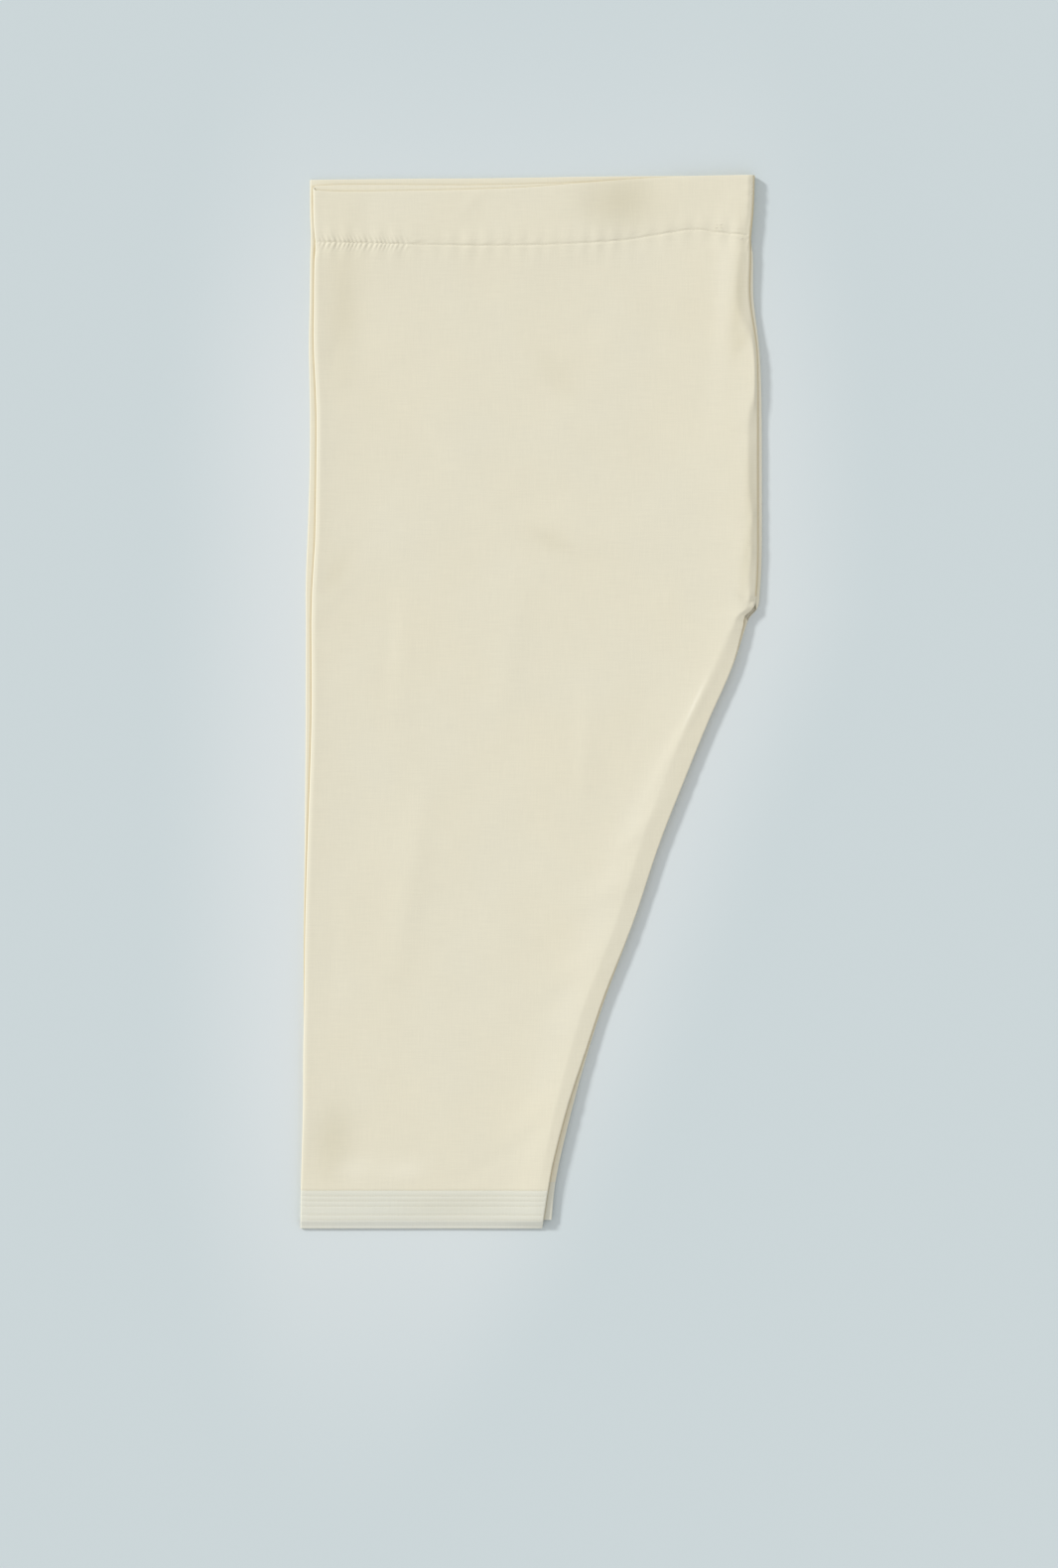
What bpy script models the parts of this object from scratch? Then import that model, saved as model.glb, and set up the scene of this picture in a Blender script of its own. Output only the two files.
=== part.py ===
"""Shalwar trousers, folded in half along the centre seam and laid flat on a table.

The left leg lies on the right leg. The waist is towards +Y, the side folds towards -X, and the centre
seam and the inseams towards +X. Each leg is one wall of cloth, cut on the fold at its side: it runs from
the seam, over the leg's outer half, round the side fold and back along the inner half. Down to the crotch
the two outer halves are sewn together round the +X edge, and the two inner halves lie inside them. Below
the crotch each leg closes on itself along its inseam. A waist casing and a stitched cuff finish each leg.
Sizes are in metres. "Down" is the distance from the waist edge towards the hem, and "across" runs from 0
at the side fold to 1 at the seam. The cloth rests on z = 0, with the origin at the middle of its base.
"""

import math
from bisect import bisect_right
from collections import namedtuple

import bpy

# Driving sizes
LENGTH = 0.965
CUFF_DEPTH = 0.0345
UNDER_HEM = 0.957
CASING_DEPTH = 0.052

# Cloth walls: one thickness, the turned casing and the stiffened cuff
CLOTH = 0.0010
CASING_CLOTH = 0.0015
CUFF_CLOTH = 0.0011
SEAM_GAP = 0.0003

# The four layers of the folded garment, counted from the table
OUTER_UNDER, INNER_UNDER, INNER_UPPER, OUTER_UPPER = range(4)
UPPER_LAYERS = (INNER_UPPER, OUTER_UPPER)
PITCH = 0.0017
CASING_PITCH = 0.0021
PITCH_FADE = 0.10
LOFT = 0.0005
LOFT_FADE = 0.08

# Rolled edges
SEAM_SWELL_REACH = 0.014
SIDE_SWELL_REACH = 0.0045
BESIDE_FOLD = 0.0015
SWELL_SHARE = {OUTER_UPPER: 1.0, INNER_UPPER: 0.35, INNER_UNDER: 0.2, OUTER_UNDER: 0.0}
CENTRE_SEAM_RISE = 0.0009
EDGE_ROUND = 0.0050
INNER_SEAM_INSET = 0.0055
FULL_BULGE = 0.0020
CROTCH_START = 0.386
CROTCH_END = 0.412

# Gathers that the casing's stitching draws up in the cloth on both its sides
PUCKERS = 26
PUCKER_HEIGHT = 0.0009
PUCKER_REACH = 0.016
PUCKER_LEVEL = 0.65
PUCKER_VARIATION = 0.35
SLOW_VARIATION = 9.0
FAST_VARIATION = 31.0
VARIATION_START = 2.0

# Columns and rows of each wall
UPPER_COLUMNS = 2 * PUCKERS
PLAIN_COLUMNS = 14
END_STEPS = 3
FOLD_STEPS = 4
PUCKER_ROWS = (0.0, 0.005, 0.012, 0.024, 0.045)
CROTCH_SHARES = (0.0, 0.25, 0.5, 0.75, 1.0)
ROW_PITCH = 0.040
CASING_SHARES = (0.0, 0.45, 0.80, 1.0)
CUFF_SHARES = (0.0, 0.4, 0.77, 0.88, 1.0)

COTTON = (0.78, 0.74, 0.60)
CUFF_COTTON = (0.74, 0.72, 0.62)
COTTON_ROUGHNESS = 0.85

# Outline of the folded garment. The seam columns are the centre seam down to the crotch and the inseam
# below it, and the swells are how far the cloth rolls up beside the seam and beside the side fold.
Section = namedtuple("Section", "down upper_side upper_seam under_side under_seam seam_swell side_swell")
SECTIONS = (
    Section(0.000, -0.1996, 0.2049, -0.2025, 0.2051, 0.0016, 0.0006),
    Section(0.030, -0.1992, 0.2038, -0.2025, 0.2041, 0.0015, 0.0006),
    Section(0.056, -0.1974, 0.2016, -0.2017, 0.2020, 0.0010, 0.0004),
    Section(0.072, -0.1983, 0.2018, -0.2022, 0.2036, 0.0018, 0.0009),
    Section(0.112, -0.1987, 0.2014, -0.2026, 0.2041, 0.0026, 0.0012),
    Section(0.156, -0.1989, 0.2074, -0.2034, 0.2092, 0.0028, 0.0013),
    Section(0.190, -0.1974, 0.2086, -0.2028, 0.2111, 0.0030, 0.0014),
    Section(0.220, -0.1964, 0.2087, -0.2024, 0.2117, 0.0030, 0.0014),
    Section(0.270, -0.1966, 0.2087, -0.2027, 0.2119, 0.0030, 0.0014),
    Section(0.332, -0.1976, 0.2087, -0.2047, 0.2119, 0.0030, 0.0014),
    Section(0.356, -0.1990, 0.2084, -0.2058, 0.2115, 0.0029, 0.0013),
    Section(0.381, -0.2004, 0.2070, -0.2064, 0.2100, 0.0027, 0.0012),
    Section(0.396, -0.2008, 0.2043, -0.2063, 0.2080, 0.0024, 0.0012),
    Section(0.404, -0.2010, 0.1964, -0.2062, 0.2010, 0.0022, 0.0012),
    Section(0.413, -0.2011, 0.1945, -0.2061, 0.1972, 0.0021, 0.0012),
    Section(0.450, -0.2009, 0.1845, -0.2063, 0.1848, 0.0019, 0.0012),
    Section(0.499, -0.2010, 0.1631, -0.2064, 0.1628, 0.0018, 0.0011),
    Section(0.548, -0.2023, 0.1431, -0.2067, 0.1428, 0.0018, 0.0010),
    Section(0.612, -0.2046, 0.1180, -0.2073, 0.1178, 0.0018, 0.0009),
    Section(0.684, -0.2066, 0.0939, -0.2081, 0.0939, 0.0017, 0.0009),
    Section(0.752, -0.2074, 0.0671, -0.2082, 0.0688, 0.0016, 0.0008),
    Section(0.804, -0.2085, 0.0496, -0.2083, 0.0520, 0.0014, 0.0008),
    Section(0.851, -0.2087, 0.0342, -0.2085, 0.0388, 0.0011, 0.0007),
    Section(0.903, -0.2100, 0.0206, -0.2098, 0.0262, 0.0006, 0.0004),
    Section(0.930, -0.2107, 0.0156, -0.2105, 0.0214, 0.0003, 0.0002),
    Section(0.965, -0.2113, 0.0103, -0.2111, 0.0184, 0.0001, 0.0001),
)

# Waist edges of the upper leg's halves and of the under leg, and the upper casing's line of stitching
WaistPoint = namedtuple("WaistPoint", "across outer_top inner_top under_top stitching")
WAIST = (
    WaistPoint(0.00, 0.0140, 0.0098, 0.0040, 0.0607),
    WaistPoint(0.07, 0.0152, 0.0087, 0.0036, 0.0612),
    WaistPoint(0.28, 0.0140, 0.0090, 0.0028, 0.0632),
    WaistPoint(0.37, 0.0131, 0.0090, 0.0026, 0.0638),
    WaistPoint(0.48, 0.0113, 0.0082, 0.0020, 0.0635),
    WaistPoint(0.60, 0.0075, 0.0065, 0.0012, 0.0618),
    WaistPoint(0.71, 0.0041, 0.0040, 0.0007, 0.0588),
    WaistPoint(0.79, 0.0022, 0.0025, 0.0005, 0.0537),
    WaistPoint(0.87, 0.0009, 0.0015, 0.0003, 0.0492),
    WaistPoint(0.93, 0.0004, 0.0010, 0.0002, 0.0520),
    WaistPoint(1.00, 0.0000, 0.0008, 0.0000, 0.0547),
)

# Largest soft folds of the leg that lies on top, each a ridge, or a trough where its height is negative
SoftFold = namedtuple("SoftFold", "across down turn_deg length width height")
SOFT_FOLDS = (
    SoftFold(0.22, 0.44, 88, 0.060, 0.014, 0.0005),
    SoftFold(0.47, 0.44, 80, 0.055, 0.013, 0.0004),
    SoftFold(0.58, 0.19, -48, 0.075, 0.016, 0.0006),
    SoftFold(0.52, 0.25, -40, 0.060, 0.016, -0.0003),
    SoftFold(0.62, 0.33, -12, 0.070, 0.016, 0.0005),
    SoftFold(0.30, 0.24, -60, 0.070, 0.018, 0.0004),
    SoftFold(0.30, 0.65, 80, 0.090, 0.016, 0.0005),
    SoftFold(0.72, 0.52, 88, 0.050, 0.012, 0.0004),
    SoftFold(0.88, 0.66, 12, 0.030, 0.010, 0.0006),
    SoftFold(0.86, 0.73, 25, 0.035, 0.010, 0.0005),
    SoftFold(0.84, 0.88, 50, 0.040, 0.011, 0.0005),
    SoftFold(0.14, 0.90, 65, 0.035, 0.016, 0.0004),
)

# How far both legs stand up beside the inseam near the hem, and how far in from the seam that reaches
Rise = namedtuple("Rise", "down height")
INSEAM_RISE = (
    Rise(0.770, 0.0000),
    Rise(0.810, 0.0005),
    Rise(0.855, 0.0022),
    Rise(0.900, 0.0030),
    Rise(0.945, 0.0027),
    Rise(0.965, 0.0024),
)
INSEAM_RISE_REACH = 0.030

# The upper hem droops to the table past the lower one, its two layers pressed closer
HEM_CLEARANCE = 0.0002
HEM_PRESS = 0.0004

MIDDLE = (min(s.upper_side for s in SECTIONS) + max(s.under_seam for s in SECTIONS)) / 2

# A leg names its columns in SECTIONS and WAIST and its two layers, and a wall is one sewn piece of it
Leg = namedtuple("Leg", "side seam outer_top inner_top outer inner columns hem")
UPPER = Leg("upper_side", "upper_seam", "outer_top", "inner_top", OUTER_UPPER, INNER_UPPER, UPPER_COLUMNS, LENGTH)
UNDER = Leg("under_side", "under_seam", "under_top", "under_top", OUTER_UNDER, INNER_UNDER, PLAIN_COLUMNS, UNDER_HEM)


def ease(share):
    """Smooth step from 0 to 1."""
    share = min(1.0, max(0.0, share))
    return share * share * (3.0 - 2.0 * share)


def mix(first, second, share):
    return first + (second - first) * share


def table_value(table, column, at):
    """A column's value between the rows of a table, whose first column is its key, on a smooth curve."""
    keys = [row[0] for row in table]
    values = [getattr(row, column) for row in table]

    def slope(i):
        before, after = max(0, i - 1), min(len(keys) - 1, i + 1)
        return (values[after] - values[before]) / (keys[after] - keys[before])

    at = min(keys[-1], max(keys[0], at))
    i = min(len(keys) - 2, bisect_right(keys, at) - 1)
    span = keys[i + 1] - keys[i]
    t = (at - keys[i]) / span
    from_values = mix(values[i], values[i + 1], ease(t))
    from_slopes = span * t * (1 - t) * (slope(i) * (1 - t) - slope(i + 1) * t)
    return from_values + from_slopes


def bump(distance, reach):
    """A swell that starts at 0, is 1 at its reach and fades out past it."""
    return distance / reach * math.exp(1.0 - distance / reach)


def soft_folds(x, down):
    """Height that the named soft folds give the top layer."""
    total = 0.0
    for fold in SOFT_FOLDS:
        turn = math.radians(fold.turn_deg)
        side = table_value(SECTIONS, UPPER.side, fold.down)
        seam = table_value(SECTIONS, UPPER.seam, fold.down)
        dx = x - (mix(side, seam, fold.across) - MIDDLE)
        dy = fold.down - down
        lengthwise = (dx * math.cos(turn) + dy * math.sin(turn)) / fold.length
        sideways = (dy * math.cos(turn) - dx * math.sin(turn)) / fold.width
        total += fold.height * math.exp(-lengthwise**2 - sideways**2)
    return total


def puckers(across, down):
    """Small gathers of the top layer beside the casing's stitching, uneven as sewing leaves them."""
    stitching = table_value(WAIST, "stitching", across)
    near = math.exp(-(((down - stitching) / PUCKER_REACH) ** 2))
    wave = 0.5 + 0.5 * math.cos(2.0 * math.pi * PUCKERS * across)
    variation = math.sin(SLOW_VARIATION * across + VARIATION_START) * math.sin(FAST_VARIATION * across)
    uneven = PUCKER_LEVEL + PUCKER_VARIATION * variation
    return PUCKER_HEIGHT * near * wave * uneven


def layer_height(layer, wall, x, across, down, to_seam, to_side):
    """Height of the middle of a layer of cloth."""
    casing_share = 1.0 - ease((down - CASING_DEPTH) / PITCH_FADE)
    height = wall / 2 + layer * mix(PITCH, CASING_PITCH, casing_share)
    swell = table_value(SECTIONS, "seam_swell", down) * bump(to_seam, SEAM_SWELL_REACH)
    rise = table_value(INSEAM_RISE, "height", down) * math.exp(-((to_seam / INSEAM_RISE_REACH) ** 2))
    height += swell * SWELL_SHARE[layer] + rise
    if layer in UPPER_LAYERS:
        droop = INNER_UPPER * PITCH - HEM_CLEARANCE + rise + UPPER_LAYERS.index(layer) * HEM_PRESS
        height -= droop * ease((down - UNDER_HEM) / (LENGTH - UNDER_HEM))
    if layer == OUTER_UPPER:
        height += LOFT * ease((LENGTH - CUFF_DEPTH - down) / LOFT_FADE)
        height += table_value(SECTIONS, "side_swell", down) * bump(to_side, SIDE_SWELL_REACH)
        height += soft_folds(x, down) + puckers(across, down)
    return height


def quarter_round(x_end, z_end, z_layer):
    """Points from a level layer round to an upright edge at (x_end, z_end), as (x, z)."""
    drop = z_end - z_layer
    radius = min(EDGE_ROUND, abs(drop))
    turns = [math.pi / 2 * step / END_STEPS for step in range(END_STEPS + 1)]
    return [(x_end - radius + radius * math.sin(t), z_end - drop * math.cos(t)) for t in turns]


def blend_points(first, second, share):
    return [(mix(a[0], b[0], share), mix(a[1], b[1], share)) for a, b in zip(first, second)]


def seam_ends(leg, wall, down):
    """The seam edges of a leg's outer and inner halves in one section, each from the layer to its edge."""
    seam = table_value(SECTIONS, leg.seam, down) - MIDDLE - wall / 2
    upper_seam = table_value(SECTIONS, UPPER.seam, down) - MIDDLE - wall / 2
    below_crotch = ease((down - CROTCH_START) / (CROTCH_END - CROTCH_START))
    drop_share, reach_share = ease(2 * below_crotch), ease(2 * below_crotch - 1)

    def height(layer):
        return layer_height(layer, wall, seam - EDGE_ROUND, 1.0, down, EDGE_ROUND, 1.0)

    outer_z, inner_z = height(leg.outer), height(leg.inner)
    away = 1.0 if leg is UPPER else -1.0
    inseam_z = (outer_z + inner_z) / 2
    outer_closed = quarter_round(seam, inseam_z + away * SEAM_GAP / 2, outer_z)
    inner_closed = quarter_round(seam, inseam_z - away * SEAM_GAP / 2, inner_z)

    centre_z = (height(INNER_UPPER) + height(INNER_UNDER)) / 2 + CENTRE_SEAM_RISE
    if leg is UPPER:
        outer_open = quarter_round(seam, centre_z + SEAM_GAP / 2, outer_z)
    else:
        bulge = seam - upper_seam
        tilt = min(1.0, max(0.0, bulge / FULL_BULGE))
        end_z = centre_z - SEAM_GAP / 2 - tilt * wall / 2
        arc = quarter_round(seam, mix(end_z, mix(outer_z, end_z, 0.5), tilt), outer_z)
        tip = (mix(arc[-1][0], upper_seam, tilt), end_z)
        before_tip = (mix(arc[-2][0], seam, tilt), mix(arc[-2][1], arc[-1][1], tilt))
        outer_open = arc[:-2] + [before_tip, tip]
    inset = upper_seam - INNER_SEAM_INSET
    inner_open = [(inset - INNER_SEAM_INSET * (1 - step / END_STEPS), inner_z) for step in range(END_STEPS + 1)]
    return (
        blend_points(outer_open, outer_closed, drop_share),
        blend_points(inner_open, inner_closed, reach_share),
    )


def run_between(leg, layer, wall, down, x_from, x_to, steps, downs):
    """Points of a level stretch of a layer, from x_from towards x_to, without its two ends."""
    side = table_value(SECTIONS, leg.side, down) - MIDDLE
    seam = table_value(SECTIONS, leg.seam, down) - MIDDLE
    points = []
    for step in range(1, steps):
        x = mix(x_from, x_to, step / steps)
        across = (x - side) / (seam - side)
        here = downs(across)
        z = layer_height(layer, wall, x, across, here, seam - x, x - side)
        points.append((x, here, z))
    return points


def section(leg, wall, down, outer_downs, inner_downs):
    """One row of a wall: from the outer half's seam edge, round the side fold, to the inner half's."""
    outer_end, inner_end = seam_ends(leg, wall, down)
    side = table_value(SECTIONS, leg.side, down) - MIDDLE + wall / 2
    seam = table_value(SECTIONS, leg.seam, down) - MIDDLE

    def fold_height(layer):
        return layer_height(layer, wall, side, 0.0, down, seam - side, BESIDE_FOLD)

    outer_z, inner_z = fold_height(leg.outer), fold_height(leg.inner)
    half = (outer_z - inner_z) / 2
    centre_x = side + abs(half)
    row = [(x, outer_downs(1.0), z) for x, z in reversed(outer_end)]
    row += run_between(leg, leg.outer, wall, down, outer_end[0][0], centre_x, leg.columns, outer_downs)
    for step in range(FOLD_STEPS + 1):
        turn = math.pi * step / FOLD_STEPS
        fold_down = mix(outer_downs(0.0), inner_downs(0.0), step / FOLD_STEPS)
        z = (outer_z + inner_z) / 2 + half * math.cos(turn)
        row.append((centre_x - abs(half) * math.sin(turn), fold_down, z))
    row += run_between(leg, leg.inner, wall, down, centre_x, inner_end[0][0], PLAIN_COLUMNS, inner_downs)
    row += [(x, inner_downs(1.0), z) for x, z in inner_end]
    return row


def cloth_material(name, colour):
    material = bpy.data.materials.new(name)
    material.use_nodes = True
    shader = material.node_tree.nodes["Principled BSDF"]
    shader.inputs["Base Color"].default_value = (*colour, 1.0)
    shader.inputs["Roughness"].default_value = COTTON_ROUGHNESS
    shader.inputs["Metallic"].default_value = 0.0
    return material


def cloth_wall(name, rows, wall, material, collection):
    """A named wall of cloth: a grid primitive laid through the rows' points and given its thickness."""
    across_count, row_count = len(rows[0]), len(rows)
    bpy.ops.mesh.primitive_grid_add(x_subdivisions=across_count - 1, y_subdivisions=row_count - 1)
    cloth = bpy.context.object
    cloth.name = cloth.data.name = name
    for vertex in cloth.data.vertices:
        row_index, column_index = divmod(vertex.index, across_count)
        x, down, z = rows[row_index][column_index]
        vertex.co = (x, LENGTH / 2 - down, z)
    thickness = cloth.modifiers.new("Cloth thickness", "SOLIDIFY")
    thickness.thickness = wall
    thickness.offset = 0.0
    thickness.use_even_offset = True
    thickness.use_quality_normals = True
    cloth.data.materials.append(material)
    cloth.data.shade_smooth()
    for other in cloth.users_collection:
        other.objects.unlink(cloth)
    collection.objects.link(cloth)
    return cloth


def stitching_line(leg, layer):
    """The casing's line of stitching on one layer, as a function of across."""
    if layer == OUTER_UPPER:
        return lambda across: table_value(WAIST, "stitching", across)
    top = leg.outer_top if layer == leg.outer else leg.inner_top
    return lambda across: table_value(WAIST, top, across) + CASING_DEPTH


def casing_rows(leg):
    """The waist casing, from the waist edge down to the stitching."""

    def downs(layer, top, share):
        stitching = stitching_line(leg, layer)
        return lambda across: mix(table_value(WAIST, top, across), stitching(across) - SEAM_GAP / 2, share)

    return [
        section(
            leg,
            CASING_CLOTH,
            mix(0.0, CASING_DEPTH, share),
            downs(leg.outer, leg.outer_top, share),
            downs(leg.inner, leg.inner_top, share),
        )
        for share in CASING_SHARES
    ]


def leg_stations(leg):
    """Distances down at which a leg has a row, close together at the gathers and at the crotch."""
    top = CASING_DEPTH + SEAM_GAP / 2
    bottom = leg.hem - CUFF_DEPTH - SEAM_GAP / 2
    stations = [top + step for step in PUCKER_ROWS]
    crotch = [mix(CROTCH_START, CROTCH_END, share) for share in CROTCH_SHARES]
    for start, end in ((stations[-1], crotch[0]), (crotch[-1], bottom)):
        count = round((end - start) / ROW_PITCH)
        stations += [mix(start, end, step / count) for step in range(1, count)]
    return sorted(stations + crotch + [bottom])


def leg_rows(leg):
    """The leg itself, from the casing's stitching down to the cuff."""
    stations = leg_stations(leg)

    def downs(layer, station):
        stitching = stitching_line(leg, layer)
        keep = 1.0 - ease((station - stations[0]) / PITCH_FADE)
        return lambda across: station + (stitching(across) + SEAM_GAP / 2 - stations[0]) * keep

    return [section(leg, CLOTH, s, downs(leg.outer, s), downs(leg.inner, s)) for s in stations]


def cuff_rows(leg):
    """The stitched cuff, from the leg down to the hem."""
    top = leg.hem - CUFF_DEPTH + SEAM_GAP / 2
    stations = [mix(top, leg.hem, share) for share in CUFF_SHARES]
    return [section(leg, CUFF_CLOTH, s, lambda across, s=s: s, lambda across, s=s: s) for s in stations]


def main():
    for obj in list(bpy.data.objects):
        bpy.data.objects.remove(obj)
    collection = bpy.data.collections.new("shalwar_trousers")
    bpy.context.scene.collection.children.link(collection)
    cotton = cloth_material("cotton", COTTON)
    cuff_cotton = cloth_material("cuff_cotton", CUFF_COTTON)
    for side, leg in (("left", UPPER), ("right", UNDER)):
        cloth_wall(f"{side}_leg", leg_rows(leg), CLOTH, cotton, collection)
        cloth_wall(f"{side}_waist_casing", casing_rows(leg), CASING_CLOTH, cotton, collection)
        cloth_wall(f"{side}_hem_cuff", cuff_rows(leg), CUFF_CLOTH, cuff_cotton, collection)


main()
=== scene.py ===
"""Cream shalwar trousers, folded in half along the centre seam and laid flat on a pale surface.

The left leg lies on the right leg. The waist is towards +Y, the side folds towards -X, and the centre
seam and the inseams towards +X. Each leg is one thin wall of cloth that runs from the seam over the leg's
outer half, round the side fold and back along its inner half. The waist casing and the hem cuff are cloth
turned in at their free edge, with the thread that holds them. "Down" is the distance from the waist edge
towards the hem, and "across" runs from 0 at the side fold to 1 at the seam. Sizes are in metres.
"""

import math
from collections import namedtuple

import bpy
import numpy as np
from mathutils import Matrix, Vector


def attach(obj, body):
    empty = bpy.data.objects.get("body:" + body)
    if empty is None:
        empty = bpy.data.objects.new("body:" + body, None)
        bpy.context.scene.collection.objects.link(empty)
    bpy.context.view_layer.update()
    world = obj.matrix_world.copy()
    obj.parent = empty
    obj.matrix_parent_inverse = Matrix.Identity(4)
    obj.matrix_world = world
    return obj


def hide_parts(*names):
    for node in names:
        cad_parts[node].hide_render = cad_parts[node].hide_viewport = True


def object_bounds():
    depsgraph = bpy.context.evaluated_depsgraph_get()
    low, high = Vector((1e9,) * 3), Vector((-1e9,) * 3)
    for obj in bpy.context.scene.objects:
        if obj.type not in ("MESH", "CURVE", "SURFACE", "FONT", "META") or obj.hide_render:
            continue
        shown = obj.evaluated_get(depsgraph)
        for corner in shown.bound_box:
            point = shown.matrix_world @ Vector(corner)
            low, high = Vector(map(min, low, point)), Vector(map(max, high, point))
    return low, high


bl_info = {
    "name": "Folded Shalwar Trousers",
    "version": (1, 0, 0),
    "blender": (4, 5, 0),
    "location": "View3D > Sidebar > Shalwar",
    "description": "Cream cotton shalwar trousers, folded in half and laid flat",
    "category": "Object",
}

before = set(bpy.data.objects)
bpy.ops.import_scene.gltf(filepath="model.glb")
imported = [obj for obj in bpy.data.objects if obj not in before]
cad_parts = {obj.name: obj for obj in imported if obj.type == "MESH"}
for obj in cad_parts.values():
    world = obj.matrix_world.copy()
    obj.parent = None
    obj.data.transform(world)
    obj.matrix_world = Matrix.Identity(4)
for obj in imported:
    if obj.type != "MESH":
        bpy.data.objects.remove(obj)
CAD_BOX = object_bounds()

# Driving sizes of the garment
LENGTH = 0.965
CUFF_DEPTH = 0.0345
UNDER_HEM = 0.957
CASING_DEPTH = 0.052
WAIST_Y = LENGTH / 2
SEAM_GAP = 0.0003

# Room that each piece of cloth takes up in the folded stack
LEG_WALL = 0.0010
CASING_WALL = 0.0015
CUFF_WALL = 0.0011

# The four layers of the folded garment, counted from the table
OUTER_UNDER, INNER_UNDER, INNER_UPPER, OUTER_UPPER = range(4)
UPPER_LAYERS = (INNER_UPPER, OUTER_UPPER)
PITCH = 0.0017
CASING_PITCH = 0.0021
PITCH_FADE = 0.10
LOFT = 0.0005
LOFT_FADE = 0.08

# Rolled edges
SEAM_SWELL_REACH = 0.014
SIDE_SWELL_REACH = 0.0045
BESIDE_FOLD = SIDE_SWELL_REACH / 3
SWELL_SHARE = {OUTER_UPPER: 1.0, INNER_UPPER: 0.35, INNER_UNDER: 0.2, OUTER_UNDER: 0.0}
CENTRE_SEAM_RISE = 0.0009
EDGE_ROUND = 0.0050
INNER_SEAM_INSET = 0.0055
FULL_BULGE = 0.0020
CROTCH_START = 0.386
CROTCH_END = 0.412

# Outline of the folded garment. The seam columns are the centre seam down to the crotch and the inseam
# below it, and the swells are how far the cloth rolls up beside the seam and beside the side fold.
Section = namedtuple("Section", "down upper_side upper_seam under_side under_seam seam_swell side_swell")
SECTIONS = tuple(Section(*row) for row in (
    (0.000, -0.1996, 0.2049, -0.2025, 0.2051, 0.0016, 0.0006),
    (0.030, -0.1992, 0.2038, -0.2025, 0.2041, 0.0015, 0.0006),
    (0.056, -0.1974, 0.2016, -0.2017, 0.2020, 0.0010, 0.0004),
    (0.072, -0.1983, 0.2018, -0.2022, 0.2036, 0.0018, 0.0009),
    (0.112, -0.1987, 0.2014, -0.2026, 0.2041, 0.0026, 0.0012),
    (0.156, -0.1989, 0.2074, -0.2034, 0.2092, 0.0028, 0.0013),
    (0.190, -0.1974, 0.2086, -0.2028, 0.2111, 0.0030, 0.0014),
    (0.220, -0.1964, 0.2087, -0.2024, 0.2117, 0.0030, 0.0014),
    (0.270, -0.1966, 0.2087, -0.2027, 0.2119, 0.0030, 0.0014),
    (0.332, -0.1976, 0.2087, -0.2047, 0.2119, 0.0030, 0.0014),
    (0.356, -0.1990, 0.2084, -0.2058, 0.2115, 0.0029, 0.0013),
    (0.381, -0.2004, 0.2070, -0.2064, 0.2100, 0.0027, 0.0012),
    (0.396, -0.2008, 0.2043, -0.2063, 0.2080, 0.0024, 0.0012),
    (0.404, -0.2010, 0.1964, -0.2062, 0.2010, 0.0022, 0.0012),
    (0.413, -0.2011, 0.1945, -0.2061, 0.1972, 0.0021, 0.0012),
    (0.450, -0.2009, 0.1845, -0.2063, 0.1848, 0.0019, 0.0012),
    (0.499, -0.2010, 0.1631, -0.2064, 0.1628, 0.0018, 0.0011),
    (0.548, -0.2023, 0.1431, -0.2067, 0.1428, 0.0018, 0.0010),
    (0.612, -0.2046, 0.1180, -0.2073, 0.1178, 0.0018, 0.0009),
    (0.684, -0.2066, 0.0939, -0.2081, 0.0939, 0.0017, 0.0009),
    (0.752, -0.2074, 0.0671, -0.2082, 0.0688, 0.0016, 0.0008),
    (0.804, -0.2085, 0.0496, -0.2083, 0.0520, 0.0014, 0.0008),
    (0.851, -0.2087, 0.0342, -0.2085, 0.0388, 0.0011, 0.0007),
    (0.903, -0.2100, 0.0206, -0.2098, 0.0262, 0.0006, 0.0004),
    (0.930, -0.2107, 0.0156, -0.2105, 0.0214, 0.0003, 0.0002),
    (0.965, -0.2113, 0.0103, -0.2111, 0.0184, 0.0001, 0.0001),
))

# Waist edges of the upper leg's halves and of the under leg, and the upper casing's line of stitching
WaistPoint = namedtuple("WaistPoint", "across outer_top inner_top under_top stitching")
WAIST = tuple(WaistPoint(*row) for row in (
    (0.00, 0.0140, 0.0098, 0.0040, 0.0607),
    (0.07, 0.0152, 0.0087, 0.0036, 0.0612),
    (0.28, 0.0140, 0.0090, 0.0028, 0.0632),
    (0.37, 0.0131, 0.0090, 0.0026, 0.0638),
    (0.48, 0.0113, 0.0082, 0.0020, 0.0635),
    (0.60, 0.0075, 0.0065, 0.0012, 0.0618),
    (0.71, 0.0041, 0.0040, 0.0007, 0.0588),
    (0.79, 0.0022, 0.0025, 0.0005, 0.0537),
    (0.87, 0.0009, 0.0015, 0.0003, 0.0492),
    (0.93, 0.0004, 0.0010, 0.0002, 0.0520),
    (1.00, 0.0000, 0.0008, 0.0000, 0.0547),
))

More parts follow.
